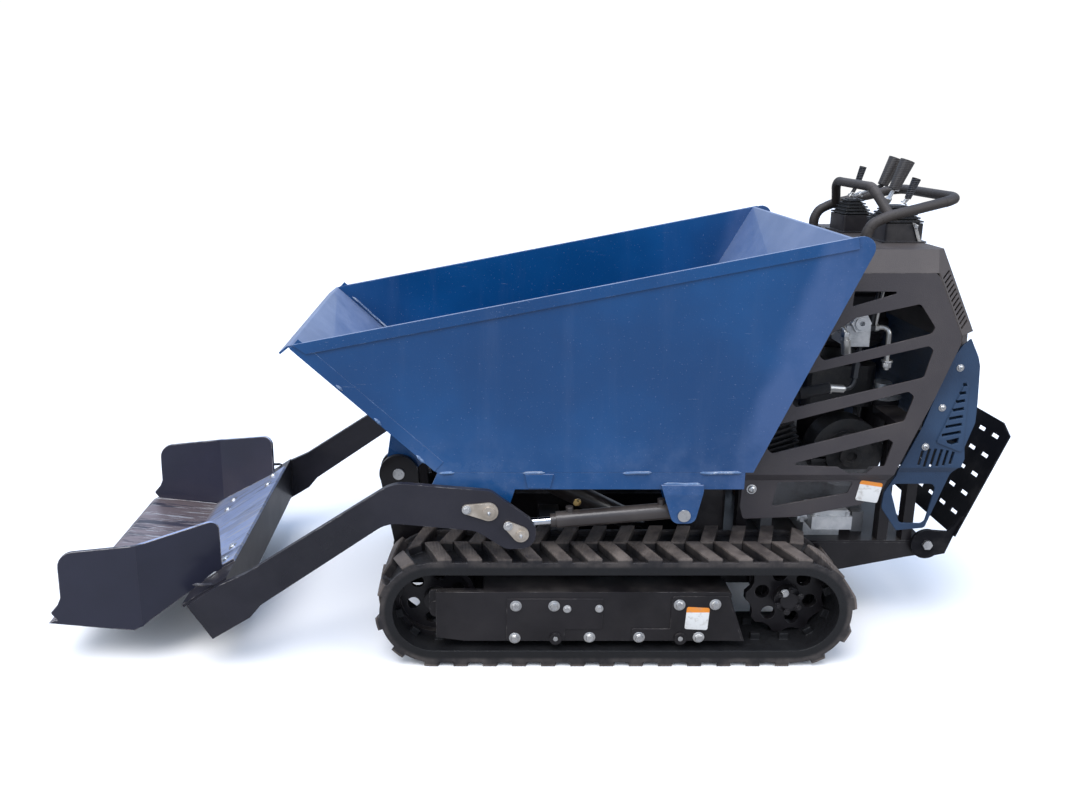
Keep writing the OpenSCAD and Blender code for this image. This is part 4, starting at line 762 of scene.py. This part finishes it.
# Skip welds: laid by hand, in short runs outside and whole seams inside. Each is a row of overlapping ripples
# of filler wire, painted over with the skip.
def bead(start, end, r=0.004, pitch=0.0026, wander=0.0006, sides=8, seed=0):
    """A tube of radius r (0.78 + 0.22 |sin(pi s / pitch)|) at length s, thin at its ends, a bit unsteady."""
    start, end = np.array(start, float), np.array(end, float)
    length = float(np.linalg.norm(end - start))
    rows = max(8, int(length / pitch * 3))
    s = np.linspace(0.0, length, rows)
    ahead = (end - start) / length
    first = np.cross(ahead, (0.0, 1.0, 0.0) if abs(ahead[1]) < 0.8 else (0.0, 0.0, 1.0))
    first /= np.linalg.norm(first)
    second = np.cross(ahead, first)
    fade = np.minimum(1.0, np.minimum(s, length - s) / (2.0 * r) + 0.15)
    radius = r * fade * (0.78 + 0.22 * np.abs(np.sin(math.pi * s / pitch)))
    drift = wander * (np.sin(61.0 * s + seed) + 0.6 * np.sin(147.0 * s + 2.0 * seed))
    turn = np.linspace(0.0, 2.0 * math.pi, sides, endpoint=False)[None, :, None]
    middle = start + s[:, None] * ahead + drift[:, None] * first
    ring = np.cos(turn) * first + np.sin(turn) * second
    return skin(middle[:, None, :] + radius[:, None, None] * ring)


weld_paint = enamel(
    "weld_paint", (0.030, 0.095, 0.230), (0.10, 0.19, 0.36), (0.34, 0.38, 0.44), (0.55, 0.60, 0.66),
    rough=0.25, wear=1.0, settled=0.8,
)
SKIP_Y = 0.361
SKIP_IN_Y = 0.356
FRONT_FOOT = np.array([0.244, 0.502])
FRONT_HEAD = np.array([0.537, 0.778])
REAR_FOOT = np.array([-0.484, 0.505])
REAR_HEAD = np.array([-0.676, 1.040])
SEAM_Z = 0.5045
STITCHES = [(-0.470, -0.372), (-0.259, -0.191), (-0.008, 0.044), (0.205, 0.240)]
FRONT_STITCHES = [(0.10, 0.17), (0.44, 0.50), (0.74, 0.79)]
EAR_STITCH = (-0.376, -0.288)
EAR_SEAM_Z = 0.4765
FLOOR_SEAM = (-0.470, 0.235)
FLOOR_SEAM_Z = 0.5105

shapes = []
for k, (x0, x1) in enumerate(STITCHES):
    shapes.append(bead((x0, SKIP_Y, SEAM_Z), (x1, SKIP_Y, SEAM_Z), 0.0042, seed=k))
for k, (a, b) in enumerate(FRONT_STITCHES):
    ends = [FRONT_FOOT + (FRONT_HEAD - FRONT_FOOT) * t for t in (a, b)]
    shapes.append(bead(*[(p[0], SKIP_Y + 0.001, p[1]) for p in ends], 0.0042, seed=k + 5))
shapes.append(bead(*[(x, SKIP_Y + 0.001, EAR_SEAM_Z) for x in EAR_STITCH], 0.0045, seed=9))
front_in = [FRONT_FOOT + (FRONT_HEAD - FRONT_FOOT) * t + (-0.004, 0.006) for t in (0.02, 1.0)]
shapes.append(bead(*[(p[0], SKIP_IN_Y, p[1]) for p in front_in], 0.0038, seed=11))
rear_in = [REAR_FOOT + (REAR_HEAD - REAR_FOOT) * t + (0.006, 0.004) for t in (0.02, 0.99)]
shapes.append(bead(*[(p[0], SKIP_IN_Y, p[1]) for p in rear_in], 0.0038, seed=13))
shapes.append(bead(*[(x, SKIP_IN_Y, FLOOR_SEAM_Z) for x in FLOOR_SEAM], 0.0038, seed=15))
piece("skip_welds", "tub", weld_paint, both_sides(shapes))

# Shovel welds: one seam a side, laid in two runs where each cheek stands on the bent sheet. The spoil has
# scoured its paint off, so it shows as bare bright steel.
CHEEK_SEAM = [(1.170, 0.3575, 0.112), (0.985, 0.3575, 0.098), (0.800, 0.299, 0.219)]

shapes = []
for side in (1.0, -1.0):
    seam = [(x, side * y, z) for x, y, z in CHEEK_SEAM]
    for k in (0, 1):
        shapes.append(bead(seam[k], seam[k + 1], 0.0036, seed=17 + k + side))
piece("shovel_welds", "loader", zinc, shapes)

# Loader welds: two runs at each end of the cross beam, which join its box to the inside of the arms and are
# painted black with them.
ARM_IN_Y = 0.381
beam_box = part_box("arm_crossbeam")

shapes = []
for z in (beam_box[0].z + 0.02, beam_box[1].z - 0.02):
    ends = [(x, ARM_IN_Y, z) for x in (beam_box[0].x + 0.03, beam_box[1].x - 0.03)]
    shapes.append(bead(*ends, 0.0045, seed=z))
piece("loader_welds", "loader", loader_black, both_sides(shapes))


# Blank labels: stickers of thin white vinyl with an orange header, on the track frames and the side guards.
# Their corners are round and their faces a little dirty.
def label(middle, u, v, w, h, thick=0.0005, corner=0.005, segments=6):
    """A slab w by h with round corners about a middle, along directions u and v, and thick along u x v."""
    middle, u, v = (np.array(p, float) for p in (middle, u, v))
    out = np.cross(u, v)
    turn = np.concatenate([np.linspace(q, q + 1.0, segments) for q in range(4)]) * math.pi / 2.0
    sign_u = np.repeat([1, -1, -1, 1], segments)
    sign_v = np.repeat([1, 1, -1, -1], segments)
    a = sign_u * (w / 2.0 - corner) + corner * np.cos(turn)
    b = sign_v * (h / 2.0 - corner) + corner * np.sin(turn)
    rim = middle + a[:, None] * u + b[:, None] * v
    soft = middle + (a * 0.985)[:, None] * u + (b * 0.985)[:, None] * v
    return skin(np.stack([rim - out * 0.0003, rim + out * thick * 0.7, soft + out * thick]))


def vinyl(name, lean, header_at):
    """White vinyl under specks of dirt, orange where z - x tan(lean) is above the header's height."""
    material, shader, place = new_finish(name, Specular_IOR_Level=0.5)
    slant = place.axis("Z") - place.axis("X") * math.tan(lean)
    head = slant.between(header_at - 0.0004, header_at + 0.0004)
    dirt = place.cloud(60.0, 6.0, 0.7).between(0.48, 0.72)
    print_tone = head.blend((0.74, 0.74, 0.72), (0.78, 0.26, 0.03))
    feed(
        shader,
        place,
        bump=[(place.cloud(90.0, 3.0), 0.0002)],
        Base_Color=(dirt * 0.6).blend(print_tone, (0.30, 0.26, 0.22)),
        Roughness=dirt * 0.3 + 0.3,
    )
    return material


FRAME_LABEL = (-0.386, COVER_FACE_Y, 0.127)
FRAME_LABEL_HEAD_Z = 0.1435
FRAME_LABEL_LEAN = math.radians(3.0)
GUARD_LABEL = (-0.815, 0.2752, 0.4195)
GUARD_LABEL_HEAD_UP = 0.017
GUARD_LABEL_LEAN = math.radians(9.0)

label_u = (-math.cos(FRAME_LABEL_LEAN), 0.0, -math.sin(FRAME_LABEL_LEAN))
label_v = (-math.sin(FRAME_LABEL_LEAN), 0.0, math.cos(FRAME_LABEL_LEAN))
shape = label(FRAME_LABEL, label_u, label_v, 0.056, 0.060)
piece("frame_labels", "chassis", vinyl("label_vinyl", 0.0, FRAME_LABEL_HEAD_Z), both_sides([shape]))

header_at = GUARD_LABEL[2] - GUARD_LABEL[0] * math.tan(GUARD_LABEL_LEAN) + GUARD_LABEL_HEAD_UP
guard_vinyl = vinyl("guard_label_vinyl", GUARD_LABEL_LEAN, header_at)
label_u = np.array((-math.cos(GUARD_LABEL_LEAN), 0.0, -math.sin(GUARD_LABEL_LEAN)))
label_v = np.array((-math.sin(GUARD_LABEL_LEAN), 0.05, math.cos(GUARD_LABEL_LEAN)))
shape = label(GUARD_LABEL, label_u, label_v / np.linalg.norm(label_v), 0.056, 0.054)
piece("guard_labels", "chassis", guard_vinyl, both_sides([shape]))

# Line nuts: zinc-plated hex nuts and a collar, screwed on the two upright hydraulic lines by the valve block.
# They are turned from bar, with chamfered corners.
REAR_LINE = (-0.8405, 0.2400)
FRONT_LINE = (-0.7305, 0.2470)
NUT = [(0.004, 0.0), (0.0098, 0.0), (0.0104, 0.0012), (0.0104, 0.0105), (0.0098, 0.0118), (0.004, 0.0118)]
COLLAR = [(0.004, 0.0), (0.0128, 0.0), (0.0132, 0.001), (0.0132, 0.004), (0.0128, 0.005), (0.004, 0.005)]

shapes = [
    turned(NUT, (*REAR_LINE, 0.764), (0, 0, 1), 6, 0.3),
    turned(NUT, (*REAR_LINE, 0.728), (0, 0, 1), 6, 0.9),
    turned(COLLAR, (*REAR_LINE, 0.741), (0, 0, 1)),
    turned(NUT, (*FRONT_LINE, 0.806), (0, 0, 1), 6, 0.5),
]
piece("line_nuts", "chassis", zinc, shapes)

# Brass fitting: a hose tail turned from brass, with a plain collar and two barbs. It shows under the skip,
# over the left track.
BRASS_AT = (-0.100, 0.262, 0.386)
BRASS_AIM = (0.35, 0.9, 0.25)
TAIL = [(0.002, 0.0), (0.0085, 0.0), (0.009, 0.001), (0.009, 0.009), (0.0085, 0.010), (0.0062, 0.0105),
        (0.0062, 0.016), (0.0072, 0.0175), (0.0062, 0.019), (0.0072, 0.021), (0.0060, 0.0225),
        (0.002, 0.0225)]

piece("brass_fitting", "chassis", brass, [turned(TAIL, BRASS_AT, BRASS_AIM, 24, 0.2)])

# Fuel tank: a blow-moulded tank of black plastic under the hood. Ribs round it stiffen its sides, and a thin
# seam shows where its mould closed.
TANK_LOW = np.array((-0.945, -0.225, 0.715))
TANK_HIGH = np.array((-0.735, 0.040, 0.985))


def tank(low, high, corner=0.045, ribs=4, rows=72, columns=96):
    """A rounded box: a superellipse of power 5 at each height, drawn in by an arc at its ends, with ribs."""
    middle, half = (low + high) / 2.0, (high - low) / 2.0
    v = np.linspace(-1.0, 1.0, rows)[:, None]
    turn = np.linspace(0.0, 2.0 * math.pi, columns, endpoint=False)[None, :]
    end = np.clip((np.abs(v) - (1.0 - corner / half[2])) / (corner / half[2]), 0.0, 1.0)
    drawn = corner * (1.0 - np.sqrt(np.clip(1.0 - end ** 2, 0.0, 1.0)))
    rib = 0.0035 * np.clip(np.cos(v * math.pi * ribs) * 3.0, -1.0, 1.0) * (np.abs(v) < 0.8)
    seam = 0.0022 * np.exp(-((v - 0.12) / 0.008) ** 2)
    c, s = np.cos(turn), np.sin(turn)
    flat = (np.abs(c) ** 5 + np.abs(s) ** 5) ** -0.2
    x = middle[0] + (half[0] - drawn + rib + seam) * flat * c
    y = middle[1] + (half[1] - drawn + rib + seam) * flat * s
    z = middle[2] + half[2] * v + 0.0 * turn
    return skin(np.stack([x, y, z], -1))


piece("fuel_tank", "chassis", plastic, [tank(TANK_LOW, TANK_HIGH)])

# Hydraulic filter: a spun canister with rolled seams and a hex boss below, screwed up into a cast head, which
# a round arm holds to the engine's rear end.
FILTER_AT = (-0.948, 0.0, 0.452)
CANISTER = [(0.010, 0.0), (0.030, 0.0), (0.040, 0.004), (0.046, 0.012), (0.047, 0.018), (0.0455, 0.020),
            (0.047, 0.022), (0.047, 0.112), (0.0455, 0.114), (0.047, 0.116), (0.047, 0.124), (0.045, 0.127),
            (0.010, 0.127)]
BOSS = [(0.010, -0.0085), (0.0135, -0.0085), (0.0145, -0.007), (0.0145, 0.001), (0.010, 0.001)]
HEAD = [(0.010, 0.1275), (0.050, 0.1275), (0.052, 0.130), (0.052, 0.142), (0.046, 0.150), (0.030, 0.156),
        (0.026, 0.168), (0.010, 0.170)]
ARM = [(0.010, 0.0), (0.014, 0.0), (0.016, 0.002), (0.016, 0.056), (0.022, 0.060), (0.022, 0.066),
       (0.010, 0.066)]
ARM_UP = 0.140

shapes = [turned(CANISTER, FILTER_AT, (0, 0, 1), 48), turned(BOSS, FILTER_AT, (0, 0, 1), 6)]
piece("filter_canister", "chassis", plastic, shapes)
arm_at = (FILTER_AT[0], FILTER_AT[1], FILTER_AT[2] + ARM_UP)
shapes = [turned(HEAD, FILTER_AT, (0, 0, 1), 32), turned(ARM, arm_at, (1, 0, 0), 24)]
piece("filter_head", "chassis", cast, shapes)

# Hood brace: a powder-coated sheet folded across the rear, which closes the gap between the hood's screen and
# the rear guard. Its ends turn forward at the screen's chamfered corners.
BRACE_Y = 0.262
BRACE_CORNER_Y = 0.236
BRACE = [(-1.0355, 0.770), (-1.0315, 0.770), (-1.0265, 0.786), (-1.0245, 0.830), (-1.0165, 0.846),
         (-0.975, 0.846), (-0.975, 0.850), (-1.0190, 0.850), (-1.0285, 0.831), (-1.0305, 0.785)]

rim = np.array([(x, 0.0, z) for x, z in BRACE])
stations = np.array([BRACE_Y, BRACE_CORNER_Y, 0.12, 0.0, -0.12, -BRACE_CORNER_Y, -BRACE_Y])
turned_in = np.maximum(np.abs(stations) - BRACE_CORNER_Y, 0.0)
rows = rim[None] + np.stack([turned_in, stations, 0.0 * stations], -1)[:, None]
piece("hood_brace", "chassis", powder["hood_powder"], [skin(rows)])

# Console strap: woven pale webbing that hangs down the rear corner of the near lever box, with a zinc-plated
# buckle at its top.
STRAP = [(-0.917, 0.1415, 1.066), (-0.922, 0.1435, 1.052), (-0.930, 0.1440, 1.030), (-0.938, 0.1450, 1.012)]
STRAP_ACROSS = (1.0, 0.0, 0.36)
STRAP_WIDE = 0.010
STRAP_THICK = 0.0018
THREAD_RATE = 3000.0
BUCKLE_AT = (-0.9205, 0.1440, 1.058)
BUCKLE = [(0.0045, 0.0), (0.0062, 0.0004), (0.0066, 0.002), (0.0062, 0.0036), (0.0045, 0.004)]


def strip(path, across, wide, thick):
    """A flat strip: a rectangle wide by thick swept along a path, its width along a fixed direction."""
    path = np.array(path)
    ahead = np.gradient(path, axis=0)
    ahead /= np.linalg.norm(ahead, axis=1)[:, None]
    across = np.array(across, float) / np.linalg.norm(across)
    out = np.cross(ahead, across)
    ring = [(1, 0.7), (0.8, 1), (-0.8, 1), (-1, 0.7), (-1, -0.7), (-0.8, -1), (0.8, -1), (1, -0.7)]
    rows = [path + across * wide / 2 * a + out * thick / 2 * b for a, b in ring]
    return skin(np.stack(rows, 1))


webbing, shader, place = new_finish("strap_webbing", Specular_IOR_Level=0.3)
weave = place.axis("Z").wave(THREAD_RATE) * place.axis("X").wave(THREAD_RATE)
feed(
    shader,
    place,
    bump=[(weave, 0.0005)],
    Base_Color=place.cloud(60.0, 4.0).blend((0.42, 0.40, 0.38), (0.58, 0.56, 0.53)),
    Roughness=place.cloud(90.0) * 0.2 + 0.6,
)
piece("console_strap", "chassis", webbing, [strip(STRAP, STRAP_ACROSS, STRAP_WIDE, STRAP_THICK)])
piece("strap_buckle", "chassis", zinc, [turned(BUCKLE, BUCKLE_AT, (0.0, 1.0, 0.0), 4, 0.6)])
